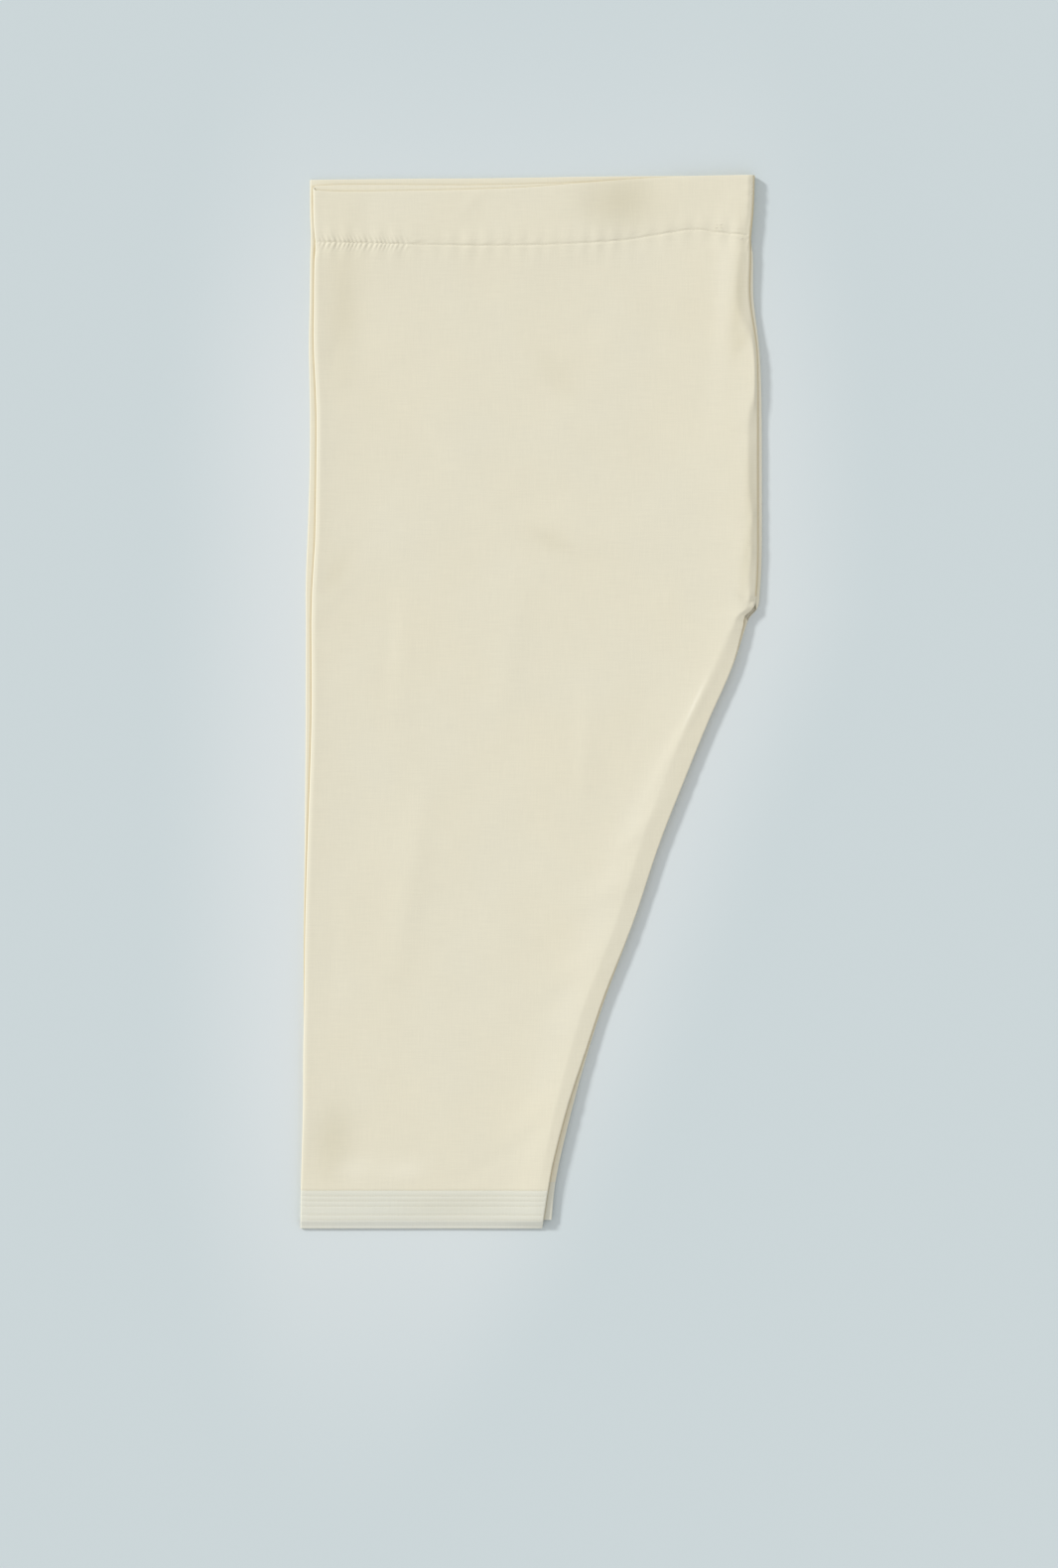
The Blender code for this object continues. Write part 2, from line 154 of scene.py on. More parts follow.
# Largest soft folds of the leg that lies on top, each a ridge, or a trough where its height is negative
SoftFold = namedtuple("SoftFold", "across down turn_deg length width height")
SOFT_FOLDS = tuple(SoftFold(*row) for row in (
    (0.22, 0.44, 88, 0.060, 0.014, 0.0005),
    (0.47, 0.44, 80, 0.055, 0.013, 0.0004),
    (0.58, 0.19, -48, 0.075, 0.016, 0.0006),
    (0.52, 0.25, -40, 0.060, 0.016, -0.0003),
    (0.62, 0.33, -12, 0.070, 0.016, 0.0005),
    (0.30, 0.24, -60, 0.070, 0.018, 0.0004),
    (0.30, 0.65, 80, 0.090, 0.016, 0.0005),
    (0.72, 0.52, 88, 0.050, 0.012, 0.0004),
    (0.88, 0.66, 12, 0.030, 0.010, 0.0006),
    (0.86, 0.73, 25, 0.035, 0.010, 0.0005),
    (0.84, 0.88, 50, 0.040, 0.011, 0.0005),
    (0.14, 0.90, 65, 0.035, 0.016, 0.0004),
))

# Fainter creases of the same cloth, in the same form
CREASES = tuple(SoftFold(*row) for row in (
    (0.52, 0.150, -45, 0.030, 0.012, -0.00025),
    (0.56, 0.205, -40, 0.028, 0.012, -0.00025),
    (0.50, 0.235, 10, 0.045, 0.022, 0.00030),
    (0.43, 0.240, -20, 0.026, 0.014, -0.00020),
    (0.66, 0.155, 70, 0.025, 0.014, 0.00025),
    (0.78, 0.130, 80, 0.026, 0.012, -0.00022),
    (0.38, 0.100, 2, 0.110, 0.016, -0.00025),
    (0.55, 0.340, -24, 0.028, 0.008, -0.00030),
    (0.50, 0.318, 4, 0.060, 0.010, 0.00020),
    (0.18, 0.430, 86, 0.045, 0.008, -0.00022),
    (0.27, 0.440, 88, 0.040, 0.008, 0.00022),
    (0.06, 0.380, 48, 0.028, 0.009, 0.00045),
    (0.05, 0.160, 80, 0.022, 0.009, -0.00040),
    (0.71, 0.530, 88, 0.055, 0.007, 0.00026),
    (0.82, 0.515, 62, 0.060, 0.012, -0.00022),
    (0.32, 0.620, 86, 0.055, 0.010, 0.00024),
    (0.30, 0.680, 84, 0.060, 0.010, 0.00022),
    (0.09, 0.715, 88, 0.060, 0.008, -0.00020),
    (0.95, 0.662, 6, 0.020, 0.005, -0.00040),
    (0.94, 0.722, 24, 0.018, 0.005, -0.00035),
    (0.93, 0.600, 50, 0.030, 0.006, 0.00035),
    (0.90, 0.625, 30, 0.020, 0.005, -0.00030),
    (0.95, 0.500, 62, 0.075, 0.005, 0.00040),
    (0.80, 0.897, 36, 0.045, 0.009, -0.00040),
    (0.14, 0.884, 20, 0.034, 0.018, -0.00030),
    (0.66, 0.830, 14, 0.030, 0.016, 0.00025),
    (0.42, 0.915, 6, 0.024, 0.010, 0.00030),
    (0.24, 0.914, -8, 0.020, 0.009, 0.00028),
    (0.972, 0.237, 20, 0.012, 0.005, -0.00050),
    (0.975, 0.316, 30, 0.012, 0.004, -0.00050),
    (0.972, 0.337, -24, 0.012, 0.004, 0.00045),
    (0.970, 0.358, 10, 0.012, 0.004, -0.00050),
    (0.975, 0.389, -40, 0.009, 0.0025, -0.00080),
    (0.988, 0.392, 45, 0.006, 0.0022, -0.00070),
))

# Dents of the upper casing, where the folded cloth below it is slack
CASING_DENTS = tuple(SoftFold(*row) for row in (
    (0.74, 0.026, 70, 0.034, 0.026, -0.0011),
    (0.64, 0.022, 80, 0.024, 0.010, -0.0004),
    (0.58, 0.040, -30, 0.020, 0.008, -0.0003),
    (0.36, 0.024, 50, 0.012, 0.005, 0.0003),
    (0.12, 0.034, 78, 0.022, 0.009, -0.0003),
))

# Very shallow unevenness of the whole cloth: waves in all directions
WAVE_COUNT = 16
WAVE_SEED = 12
SHORTEST_WAVE = 0.030
LONGEST_WAVE = 0.150
WAVE_SLOPE = 0.0065
UNEVEN_ON_CUFF = 0.45
UNEVEN_PAST_CUFF = 0.55
SMOOTH_CUFF_SHARE = 0.8
SMOOTH_CUFF_FADE = 0.02

# Gathers beside the casing's stitching: broad ones all along it, and fine ones near the side fold
BROAD_GATHERS = 26
BROAD_HEIGHT = 0.0007
BROAD_REACH = 0.013
GATHER_START = 0.008
FINE_GATHER_PITCH = 0.0042
FINE_HEIGHT = 0.00050
FINE_REACH = 0.0052
FINE_SLANT = 0.45
FINE_END = 0.20
FINE_REST = 0.16
FINE_DRIFT = 1.7
FINE_DRIFT_PACE = 190.0
BROAD_DRIFT = 1.4
BROAD_DRIFT_PACE = 11.0
PUCKER_LEVEL = 0.65
PUCKER_VARIATION = 0.35
SLOW_VARIATION = 9.0
FAST_VARIATION = 31.0
VARIATION_START = 2.0

# Gathers beside the seam at the edge
SEAM_GATHER_PITCH = 0.0125
SEAM_GATHER_HEIGHT = 0.00035
SEAM_GATHER_REACH = 0.008
SEAM_GATHER_FADE = 0.05
SEAM_DRIFT = 2.2
SEAM_DRIFT_PACE = 61.0
SEAM_SLOW_VARIATION = 37.0
SEAM_FAST_VARIATION = 83.0
SEAM_VARIATION_START = 1.0

# How the cloth sinks into a line of stitching
TROUGH_DEPTH = 0.00032
TROUGH_WIDTH = 0.0011
TROUGH_CALM = 0.7
CUFF_TROUGH_SHARE = 0.8
THREAD_GAP = 0.00004

# Columns and rows of the cloth
END_STEPS = 9
FOLD_STEPS = 10
SIDE_ZONE = 0.085
SEAM_ZONE = 0.055
BODY_ZONE = 0.26
SIDE_STEP = 0.0010
BODY_STEP = 0.0032
SEAM_STEP = 0.0015
SEAM_FINEST = 0.0005
PLAIN_COLUMNS = 26
UNDER_COLUMNS = 90
CUFF_COLUMNS = 110
CROTCH_MARGIN = 0.006
CROTCH_STEP = 0.0018
SEAM_ROW_STEP = 0.00035
ROW_GROWTH = 1.13
ROW_STEP = 0.0070
UNDER_ROW_STEP = 0.011
CASING_ROW_STEP = 0.0026

# Turned casing and cuff
TURN_STEPS = 6
CASING_HALF_GAP = 0.00036
CASING_STEP_UP = 0.00038
CASING_STEP_DOWN = 0.00011
CASING_STEP_REACH = 0.0045
CUFF_ROWS = 56
CUFF_HALF_GAP = 0.00026
FACING_ROWS = 5
CUFF_PLY_SHARE = 0.85
SMOOTH_ANGLE = 55.0

# Lines of stitching of the cuff, down from its top. The first one, like the casing's, is on its seam.
CUFF_LINES = (0.0, 0.0050, 0.0095, 0.0143, 0.0222, 0.0268)
LINE_MARGIN = 0.0035
STITCH_RAISE = 0.85

# One stitch: how much of the pitch it fills, how flat it is, and how its ends dip into the cloth
STITCH_SHARE = 0.86
STITCH_FLATNESS = 0.8
STITCH_END = 0.40
STITCH_DIP = 0.55
STITCH_AIM = 0.3
CUFF_THREAD_SHARE = 0.8

# Stitches that stand alone on the upper leg: ends of thread beside the centre seam and at the crotch, and
# on its casing: the cross that ends the line of stitching, and the overcast corner of the waist
Stitch = namedtuple("Stitch", "x down turn_deg")
LEG_STITCHES = tuple(Stitch(*row) for row in (
    (0.1929, 0.0579, 20),
    (0.1934, 0.0584, -60),
    (0.2002, 0.3358, -54),
    (0.1993, 0.3381, -27),
    (0.2009, 0.3885, -69),
    (0.2030, 0.3880, 73),
))
CASING_STITCHES = tuple(Stitch(*row) for row in (
    (0.1701, 0.0450, -31),
    (0.1742, 0.0476, -31),
    (0.1701, 0.0478, 31),
    (0.1742, 0.0450, 31),
    (0.2030, 0.0055, 38),
    (0.2030, 0.0093, 30),
    (0.2028, 0.0130, 40),
    (0.2028, 0.0166, 34),
))
SLOPE_STEP = 0.0005

# Painted shade: colour of the cloth deep in a fold, along its seam edge and beside the edge that covers it, and
# in its patches of painted shade, as shares of its own colour
FOLD_SHADE_TINT = (0.84, 0.75, 0.58)
PATCH_SHADE_TINT = (0.89, 0.88, 0.84)
FOLD_SHADE_WIDTH = 0.0011

# Looks of the cotton, the thread and the surface
SLUB_STRETCHES = ((900.0, 45.0, 1.0), (45.0, 900.0, 1.0))
SLUB_DETAIL = 2.0
PATCH_SCALE = 9.0
PATCH_DETAIL = 3.0
PALER = (0.985, 1.0, 1.02)
WARMER = (1.012, 0.998, 0.965)
SLUB_RANGE = (0.3, 0.7)
SLUB_SHADES = (0.975, 1.02)
ROUGHNESS_SPREAD = 0.06
SHEEN_ROUGHNESS = 0.45
COTTON_SPECULAR = 0.25
BUMP_STRENGTH = 0.35
TWIST_SCALE = 900.0
TWIST_DISTORTION = 2.0
THREAD_SHADE = 0.93
THREAD_SHEEN = 0.2
THREAD_ROUGHNESS = (0.55, 0.7)
FLOOR_SIZE = 12.0
FLOOR_PATCH_SCALE = 2.5
FLOOR_SPECULAR = 0.1
FLOOR_ROUGHNESS = 0.9

# Stage: the photograph's view of the surface, in metres
VIEW_HEIGHT = 1.4397
VIEW_CENTRE = (-0.0017, -0.0752)
LONG_SENSOR = 36.0

# The painted pool of light on the surface around the garment: below GLOW_TURN its right side leans in with the
# inseam
GLOW_TURN = 0.08
GLOW_LEAN = 0.40
GLOW_LEFT = 0.03
GLOW_LOW = 0.04
GLOW_HALF_WIDTH = 0.19
GLOW_HALF_LENGTH = 0.25
GLOW_STRETCH = 0.35
GLOW_FADE = (0.01, 0.18)
GLOW_UNEVEN = 0.02

# How far both legs stand up beside the inseam near the hem, and how far in from the seam that reaches
Rise = namedtuple("Rise", "down height")
INSEAM_RISE = tuple(Rise(*row) for row in (
    (0.770, 0.0000),
    (0.810, 0.0005),
    (0.855, 0.0022),
    (0.900, 0.0030),
    (0.945, 0.0027),
    (0.965, 0.0024),
))
INSEAM_RISE_REACH = 0.030

# The upper hem droops to the table past the lower one, its two layers pressed closer
HEM_CLEARANCE = 0.0002
HEM_PRESS = 0.0004

# The top layer beside its seam edge: how far in its roll turns down, how fast the roll fades out behind
# that, and how round the edge itself is
Roll = namedtuple("Roll", "down crease fall edge")
ROLL = tuple(Roll(*row) for row in (
    (0.000, 0.0050, 0.036, 0.0022),
    (0.052, 0.0060, 0.034, 0.0022),
    (0.064, 0.0085, 0.034, 0.0025),
    (0.085, 0.0118, 0.036, 0.0025),
    (0.115, 0.0125, 0.036, 0.0025),
    (0.128, 0.0110, 0.036, 0.0025),
    (0.140, 0.0075, 0.036, 0.0022),
    (0.152, 0.0038, 0.036, 0.0020),
    (0.205, 0.0038, 0.034, 0.0020),
    (0.216, 0.0080, 0.034, 0.0022),
    (0.235, 0.0092, 0.034, 0.0022),
    (0.290, 0.0086, 0.034, 0.0022),
    (0.308, 0.0062, 0.034, 0.0020),
    (0.315, 0.0048, 0.034, 0.0020),
    (0.322, 0.0078, 0.034, 0.0020),
    (0.345, 0.0064, 0.034, 0.0020),
    (0.366, 0.0080, 0.034, 0.0020),
    (0.386, 0.0060, 0.030, 0.0018),
    (0.404, 0.0070, 0.026, 0.0014),
    (0.422, 0.0110, 0.030, 0.0011),
    (0.442, 0.0150, 0.032, 0.0009),
    (0.480, 0.0170, 0.034, 0.0008),
    (0.560, 0.0180, 0.034, 0.0008),
    (0.640, 0.0160, 0.032, 0.0008),
    (0.720, 0.0150, 0.030, 0.0008),
    (0.790, 0.0140, 0.026, 0.0008),
    (0.860, 0.0100, 0.022, 0.0008),
    (0.965, 0.0060, 0.018, 0.0008),
))
ROLL_SHARPNESS = 16.0
SIDE_FALL = 0.015

# Patches of painted shade, where the cloth is a little deeper in tone, and of painted light, paler, where the
# amount is negative: shade on slopes and in creases turned from the key light, light on ridges, beside the
# seam's roll and along the drooped hem, and a few of the cloth's own uneven tone
PAINTED_PATCHES = tuple(SoftFold(*row) for row in (
    (0.70, 0.025, 84, 0.026, 0.036, 0.90),
    (0.947, 0.484, 65, 0.022, 0.0013, -0.90),
    (0.974, 0.108, 86, 0.046, 0.0055, 0.75),
    (0.968, 0.152, 60, 0.012, 0.0050, 0.50),
    (0.981, 0.285, 90, 0.030, 0.0050, 0.50),
    (0.976, 0.350, 84, 0.036, 0.0055, 0.65),
    (0.12, 0.885, 84, 0.034, 0.017, 0.70),
    (0.07, 0.120, 88, 0.060, 0.014, 0.55),
    (0.05, 0.365, 60, 0.022, 0.010, 0.45),
    (0.54, 0.180, -50, 0.030, 0.012, 0.30),
    (0.54, 0.337, -24, 0.024, 0.008, 0.35),
    (0.21, 0.910, 10, 0.016, 0.010, -0.40),
    (0.42, 0.913, 10, 0.018, 0.010, -0.40),
    (0.935, 0.110, 86, 0.090, 0.008, -0.30),
    (0.92, 0.560, 64, 0.120, 0.014, -0.30),
    (0.90, 0.740, 70, 0.080, 0.014, -0.30),
    (0.60, 0.945, 4, 0.050, 0.008, 0.30),
    (0.10, 0.945, 6, 0.030, 0.020, -0.15),
    (0.50, 0.9615, 0, 0.600, 0.0040, -0.90),
))

MIDDLE = (min(s.upper_side for s in SECTIONS) + max(s.under_seam for s in SECTIONS)) / 2

# A leg names its columns in SECTIONS and WAIST and its two layers, and is outward up or down from them
Leg = namedtuple("Leg", "side seam outer_top inner_top outer inner outward hem")
UPPER = Leg("upper_side", "upper_seam", "outer_top", "inner_top", OUTER_UPPER, INNER_UPPER, 1, LENGTH)
UNDER = Leg("under_side", "under_seam", "under_top", "under_top", OUTER_UNDER, INNER_UNDER, -1, UNDER_HEM)
LEGS = {"left": UPPER, "right": UNDER}

# A grid of cloth: its points by row and column, each point's place on the flat cloth, and its marks for painted
# shade and light:
# how far it is inside its own seam edge and how far outside the edge that covers it, which give painted shade
# along these edges, and its depth of painted shade or light in patches
Grid = namedtuple("Grid", "points flat marks")
FAR = 1.0
PAINTED_LIGHT_RIM = 0.0012


def mix(first, second, share):
    return first + (second - first) * share


def ease(share):
    """Smooth step from 0 to 1."""
    share = np.clip(share, 0.0, 1.0)
    return share * share * (3.0 - 2.0 * share)


def table_value(table, column, at):
    """A column's values between the rows of a table, whose first column is its key, on a smooth curve."""
    keys = np.array([row[0] for row in table])
    values = np.array([getattr(row, column) for row in table])
    before = np.maximum(np.arange(len(keys)) - 1, 0)
    after = np.minimum(np.arange(len(keys)) + 1, len(keys) - 1)
    slopes = (values[after] - values[before]) / (keys[after] - keys[before])
    at = np.clip(at, keys[0], keys[-1])
    i = np.clip(np.searchsorted(keys, at, side="right") - 1, 0, len(keys) - 2)
    span = keys[i + 1] - keys[i]
    t = (at - keys[i]) / span
    from_values = mix(values[i], values[i + 1], ease(t))
    return from_values + span * t * (1 - t) * (slopes[i] * (1 - t) - slopes[i + 1] * t)


def bump(distance, reach):
    """A swell that starts at 0, is 1 at its reach and fades out past it."""
    return distance / reach * np.exp(1.0 - distance / reach)


def roll_height(down, to_seam):
    """Share of the seam's swell: a flank that rises from the edge, a soft crease and a long fall."""
    crease = table_value(ROLL, "crease", down)
    fall = np.exp(-np.maximum(to_seam - crease, 0.0) / table_value(ROLL, "fall", down))
    both = np.exp(-ROLL_SHARPNESS * to_seam / crease) + np.exp(-ROLL_SHARPNESS * fall)
    return -np.log(both) / ROLL_SHARPNESS


def side_height(to_side):
    """Share of the side fold's swell: a narrow ridge with a long fall behind it."""
    past = np.maximum(to_side - SIDE_SWELL_REACH, 0.0)
    return bump(np.minimum(to_side, SIDE_SWELL_REACH), SIDE_SWELL_REACH) * np.exp(-past / SIDE_FALL)


def folds_height(folds, x, down):
    """Height that a table of folds gives the top layer, or the depth of painted shade and light that a table of
    patches gives.
    """
    total = np.zeros(np.broadcast(x, down).shape)
    for fold in folds:
        turn = math.radians(fold.turn_deg)
        side = table_value(SECTIONS, UPPER.side, fold.down)
        seam = table_value(SECTIONS, UPPER.seam, fold.down)
        dx = x - (mix(side, seam, fold.across) - MIDDLE)
        dy = fold.down - down
        lengthwise = (dx * math.cos(turn) + dy * math.sin(turn)) / fold.length
        sideways = (dy * math.cos(turn) - dx * math.sin(turn)) / fold.width
        total = total + fold.height * np.exp(-(lengthwise**2) - sideways**2)
    return total


def unevenness(x, down):
    """Shallow waves of the cloth in all directions, the same each time."""
    draws = np.random.default_rng(WAVE_SEED)
    total = np.zeros(np.broadcast(x, down).shape)
    for length in np.geomspace(SHORTEST_WAVE, LONGEST_WAVE, WAVE_COUNT):
        turn, phase = draws.uniform(0, 2 * math.pi, 2)
        along = x * math.cos(turn) + down * math.sin(turn)
        height = WAVE_SLOPE * length / (2 * math.pi)
        total = total + height * np.sin(2 * math.pi * along / length + phase)
    return total / math.sqrt(WAVE_COUNT / 4)


def gathers(across, down, to_side):
    """Gathers of the top layer beside the casing's stitching, uneven as sewing leaves them."""
    from_line = down - table_value(WAIST, "stitching", across)
    drift = BROAD_DRIFT * np.sin(BROAD_DRIFT_PACE * across)
    broad_wave = 0.5 + 0.5 * np.cos(2 * math.pi * BROAD_GATHERS * across + drift)
    variation = np.sin(SLOW_VARIATION * across + VARIATION_START)
    uneven = PUCKER_LEVEL + PUCKER_VARIATION * variation * np.sin(FAST_VARIATION * across)
    broad = BROAD_HEIGHT * np.exp(-((from_line / BROAD_REACH) ** 2)) * broad_wave * uneven
    side, seam = (table_value(SECTIONS, column, CASING_DEPTH) for column in (UPPER.side, UPPER.seam))
    along = across * (seam - side) + FINE_SLANT * np.abs(from_line)
    drift = FINE_DRIFT * np.sin(along * FINE_DRIFT_PACE)
    fine_wave = np.sin(2 * math.pi * along / FINE_GATHER_PITCH + drift)
    fade = FINE_REST + (1.0 - FINE_REST) * (1.0 - ease((across - FINE_END / 2) / FINE_END))
    fine = FINE_HEIGHT * np.exp(-((from_line / FINE_REACH) ** 2)) * fine_wave * fade
    trough = np.exp(-((from_line / TROUGH_WIDTH) ** 2))
    gathered = (broad + fine) * (1.0 - TROUGH_CALM * trough) * ease(to_side / GATHER_START)
    return gathered - TROUGH_DEPTH * trough


def cuff_troughs(down):
    """How far the top layer sinks along the cuff's lines of stitching."""
    total = np.zeros(np.shape(down))
    for line in CUFF_LINES:
        from_line = down - (LENGTH - CUFF_DEPTH + line)
        depth = TROUGH_DEPTH * (CUFF_TROUGH_SHARE if line else 1.0)
        trough = np.exp(-((from_line / (CUFF_TROUGH_SHARE * TROUGH_WIDTH)) ** 2))
        total = np.maximum(total, depth * trough)
    return total


def seam_gathers(down, to_seam):
    """Short gathers of the top layer beside its seam edge."""
    drift = SEAM_DRIFT * np.sin(down * SEAM_DRIFT_PACE)
    wave = np.sin(2 * math.pi * down / SEAM_GATHER_PITCH + drift)
    variation = 0.5 * np.sin(down * SEAM_SLOW_VARIATION + SEAM_VARIATION_START)
    uneven = 0.5 + variation * np.sin(down * SEAM_FAST_VARIATION)
    lower = ease((LENGTH - CUFF_DEPTH - down) / SEAM_GATHER_FADE)
    near = np.exp(-((to_seam / SEAM_GATHER_REACH) ** 2))
    return SEAM_GATHER_HEIGHT * near * wave * uneven * lower


def layer_height(layer, wall, x, across, down, to_seam, to_side):
    """Height of the middle of a layer of cloth."""
    casing_share = 1.0 - ease((down - CASING_DEPTH) / PITCH_FADE)
    height = wall / 2 + layer * mix(PITCH, CASING_PITCH, casing_share)
    swell = table_value(SECTIONS, "seam_swell", down) * SWELL_SHARE[layer]
    rise = table_value(INSEAM_RISE, "height", down) * np.exp(-((to_seam / INSEAM_RISE_REACH) ** 2))
    height = height + rise
    if layer in UPPER_LAYERS:
        droop = INNER_UPPER * PITCH - HEM_CLEARANCE + rise + UPPER_LAYERS.index(layer) * HEM_PRESS
        height = height - droop * ease((down - UNDER_HEM) / (LENGTH - UNDER_HEM))
    if layer != OUTER_UPPER:
        height = height + swell * bump(to_seam, SEAM_SWELL_REACH)
    else:
        height = height + swell * roll_height(down, to_seam) - cuff_troughs(down)
        flatter = ease((LENGTH - SMOOTH_CUFF_SHARE * CUFF_DEPTH - down) / SMOOTH_CUFF_FADE)
        height = height + LOFT * ease((LENGTH - CUFF_DEPTH - down) / LOFT_FADE)
        height = height + table_value(SECTIONS, "side_swell", down) * side_height(to_side)
        height = height + folds_height(SOFT_FOLDS, x, down) + flatter * folds_height(CREASES, x, down)
        height = height + folds_height(CASING_DENTS, x, down) + gathers(across, down, to_side)
        height = height + unevenness(x, down) * (UNEVEN_ON_CUFF + UNEVEN_PAST_CUFF * flatter)
        height = height + seam_gathers(down, to_seam)
    return height


def edges(leg, down):
    """The x of a leg's side fold and of its seam, at a distance down."""
    return tuple(table_value(SECTIONS, column, down) - MIDDLE for column in (leg.side, leg.seam))


def rounded_end(leg, layer, wall, stations, x_end, z_end):
    """Points from a layer, which keeps its own slope, round to an upright edge at (x_end, z_end)."""
    side, seam = (edge[:, None] for edge in edges(leg, stations))

    def height(x):
        across = (x - side) / (seam - side)
        return layer_height(layer, wall, x, across, stations[:, None], seam - x, x - side)

    reach = table_value(ROLL, "edge", stations)[:, None]
    drop = np.abs(z_end[:, None] - height(x_end[:, None] - reach))
    turn = np.linspace(0.0, math.pi / 2, END_STEPS + 1)
    x = x_end[:, None] - np.minimum(reach, drop) * (1.0 - np.sin(turn))
    return x, z_end[:, None] + (height(x) - z_end[:, None]) * np.cos(turn)


def bulging_edge(x_out, x_end, z_end, z_layer):
    """Points from a level layer round an edge that bulges to x_out and comes back in to (x_end, z_end)."""
    half = (z_end - z_layer)[:, None] / 2
    radius = np.minimum(EDGE_ROUND, np.abs(half))
    turn = np.linspace(-math.pi / 2, math.pi / 2, END_STEPS + 1)
    low = x_out[:, None] - radius + radius * np.cos(turn)
    high = x_end[:, None] + (x_out - x_end)[:, None] * np.cos(turn)
    return np.where(turn < 0, low, high), z_layer[:, None] + half * (1 + np.sin(turn))


def blend_points(first, second, share):
    share = np.asarray(share)[:, None]
    return mix(first[0], second[0], share), mix(first[1], second[1], share)


def seam_ends(leg, wall, stations):
    """The seam edges of a leg's outer and inner halves, each from the layer to its edge, as (x, z)."""
    seam = table_value(SECTIONS, leg.seam, stations) - MIDDLE
    upper_seam = table_value(SECTIONS, UPPER.seam, stations) - MIDDLE
    below_crotch = ease((stations - CROTCH_START) / (CROTCH_END - CROTCH_START))
    drop_share, reach_share = ease(2 * below_crotch), ease(2 * below_crotch - 1)

    def height(layer):
        at_edge = np.full_like(stations, EDGE_ROUND)
        ones = np.ones_like(stations)
        return layer_height(layer, wall, seam - EDGE_ROUND, ones, stations, at_edge, ones)

    outer_z, inner_z = height(leg.outer), height(leg.inner)
    inseam_z = (outer_z + inner_z) / 2
    outer_end = inseam_z + leg.outward * SEAM_GAP / 2
    inner_end = inseam_z - leg.outward * SEAM_GAP / 2
    outer_closed = rounded_end(leg, leg.outer, wall, stations, seam, outer_end)
    inner_closed = rounded_end(leg, leg.inner, wall, stations, seam, inner_end)

    centre_z = (height(INNER_UPPER) + height(INNER_UNDER)) / 2 + CENTRE_SEAM_RISE
    if leg is UPPER:
        outer_open = rounded_end(leg, leg.outer, wall, stations, seam, centre_z + SEAM_GAP / 2)
    else:
        tilt = np.clip((seam - upper_seam) / FULL_BULGE, 0.0, 1.0)
        end_z = centre_z - SEAM_GAP / 2 - tilt * wall / 2
        upright = rounded_end(leg, leg.outer, wall, stations, seam, end_z)
        outer_open = blend_points(upright, bulging_edge(seam, upper_seam, end_z, outer_z), tilt)
    inset = (upper_seam - INNER_SEAM_INSET)[:, None]
    inner_x = inset - INNER_SEAM_INSET * (1 - np.linspace(0.0, 1.0, END_STEPS + 1))
    inner_open = (inner_x, np.repeat(inner_z[:, None], END_STEPS + 1, axis=1))
    return (
        blend_points(outer_open, outer_closed, drop_share),
        blend_points(inner_open, inner_closed, reach_share),
    )


def even_shares(columns):
    return np.linspace(0.0, 1.0, columns + 1)[1:-1]


def close_shares():
    """Shares from the seam to the side fold, closer together near both, for the cloth that shows most."""
    steps = list(np.diff(graded(SEAM_ZONE, SEAM_FINEST, SEAM_STEP)))
    steps += [BODY_STEP] * round(BODY_ZONE / BODY_STEP)
    steps += [SIDE_STEP] * round(SIDE_ZONE / SIDE_STEP)
    places = np.cumsum(steps) / sum(steps)
    return places[:-1]


def level_run(leg, layer, wall, stations, x_from, x_to, shares, downs):
    """Points of a level stretch of a layer, by row and column, without its two ends."""
    side, seam = (edge[:, None] for edge in edges(leg, stations))
    x = mix(x_from[:, None], x_to[:, None], shares)
    across = (x - side) / (seam - side)
    down = downs(across)
    z = layer_height(layer, wall, x, across, down, seam - x, x - side)
    return x, down, z


def wrap(leg, wall, stations, outer_downs, inner_downs, outer_shares, inner_shares):
    """A grid that wraps a leg: the outer half from its seam edge, the side fold and the inner half."""
    rows = len(stations)
    edge = np.ones((rows, END_STEPS + 1))
    outer_end, inner_end = seam_ends(leg, wall, stations)
    side = table_value(SECTIONS, leg.side, stations) - MIDDLE + wall / 2
    seam = table_value(SECTIONS, leg.seam, stations) - MIDDLE

    def fold_height(layer):
        near = np.full_like(stations, BESIDE_FOLD)
        return layer_height(layer, wall, side, np.zeros_like(stations), stations, seam - side, near)

    outer_z, inner_z = fold_height(leg.outer), fold_height(leg.inner)
    half = ((outer_z - inner_z) / 2)[:, None]
    centre_x = side + np.abs(half[:, 0])
    turn = np.linspace(0.0, math.pi, FOLD_STEPS + 1)
    fold_x = centre_x[:, None] - np.abs(half) * np.sin(turn)
    fold_z = ((outer_z + inner_z) / 2)[:, None] + half * np.cos(turn)
    at_fold = np.zeros((rows, 1))
    fold_down = mix(outer_downs(at_fold), inner_downs(at_fold), np.linspace(0.0, 1.0, FOLD_STEPS + 1))

    outer = level_run(leg, leg.outer, wall, stations, outer_end[0][:, 0], centre_x, outer_shares, outer_downs)
    inner = level_run(leg, leg.inner, wall, stations, centre_x, inner_end[0][:, 0], inner_shares, inner_downs)
    stretches = (
        (outer_end[0][:, ::-1], outer_downs(edge), outer_end[1][:, ::-1]),
        outer,
        (fold_x, fold_down, fold_z),
        inner,
        (inner_end[0], inner_downs(edge), inner_end[1]),
    )
    x, down, z = (np.hstack([stretch[i] for stretch in stretches]) for i in range(3))
    points = np.stack([x, WAIST_Y - down, z], axis=2)
    fold_column = END_STEPS + len(outer_shares) + FOLD_STEPS // 2
    return Grid(points, flat_places(points, down, fold_column), cloth_marks(leg, x, down, fold_column))


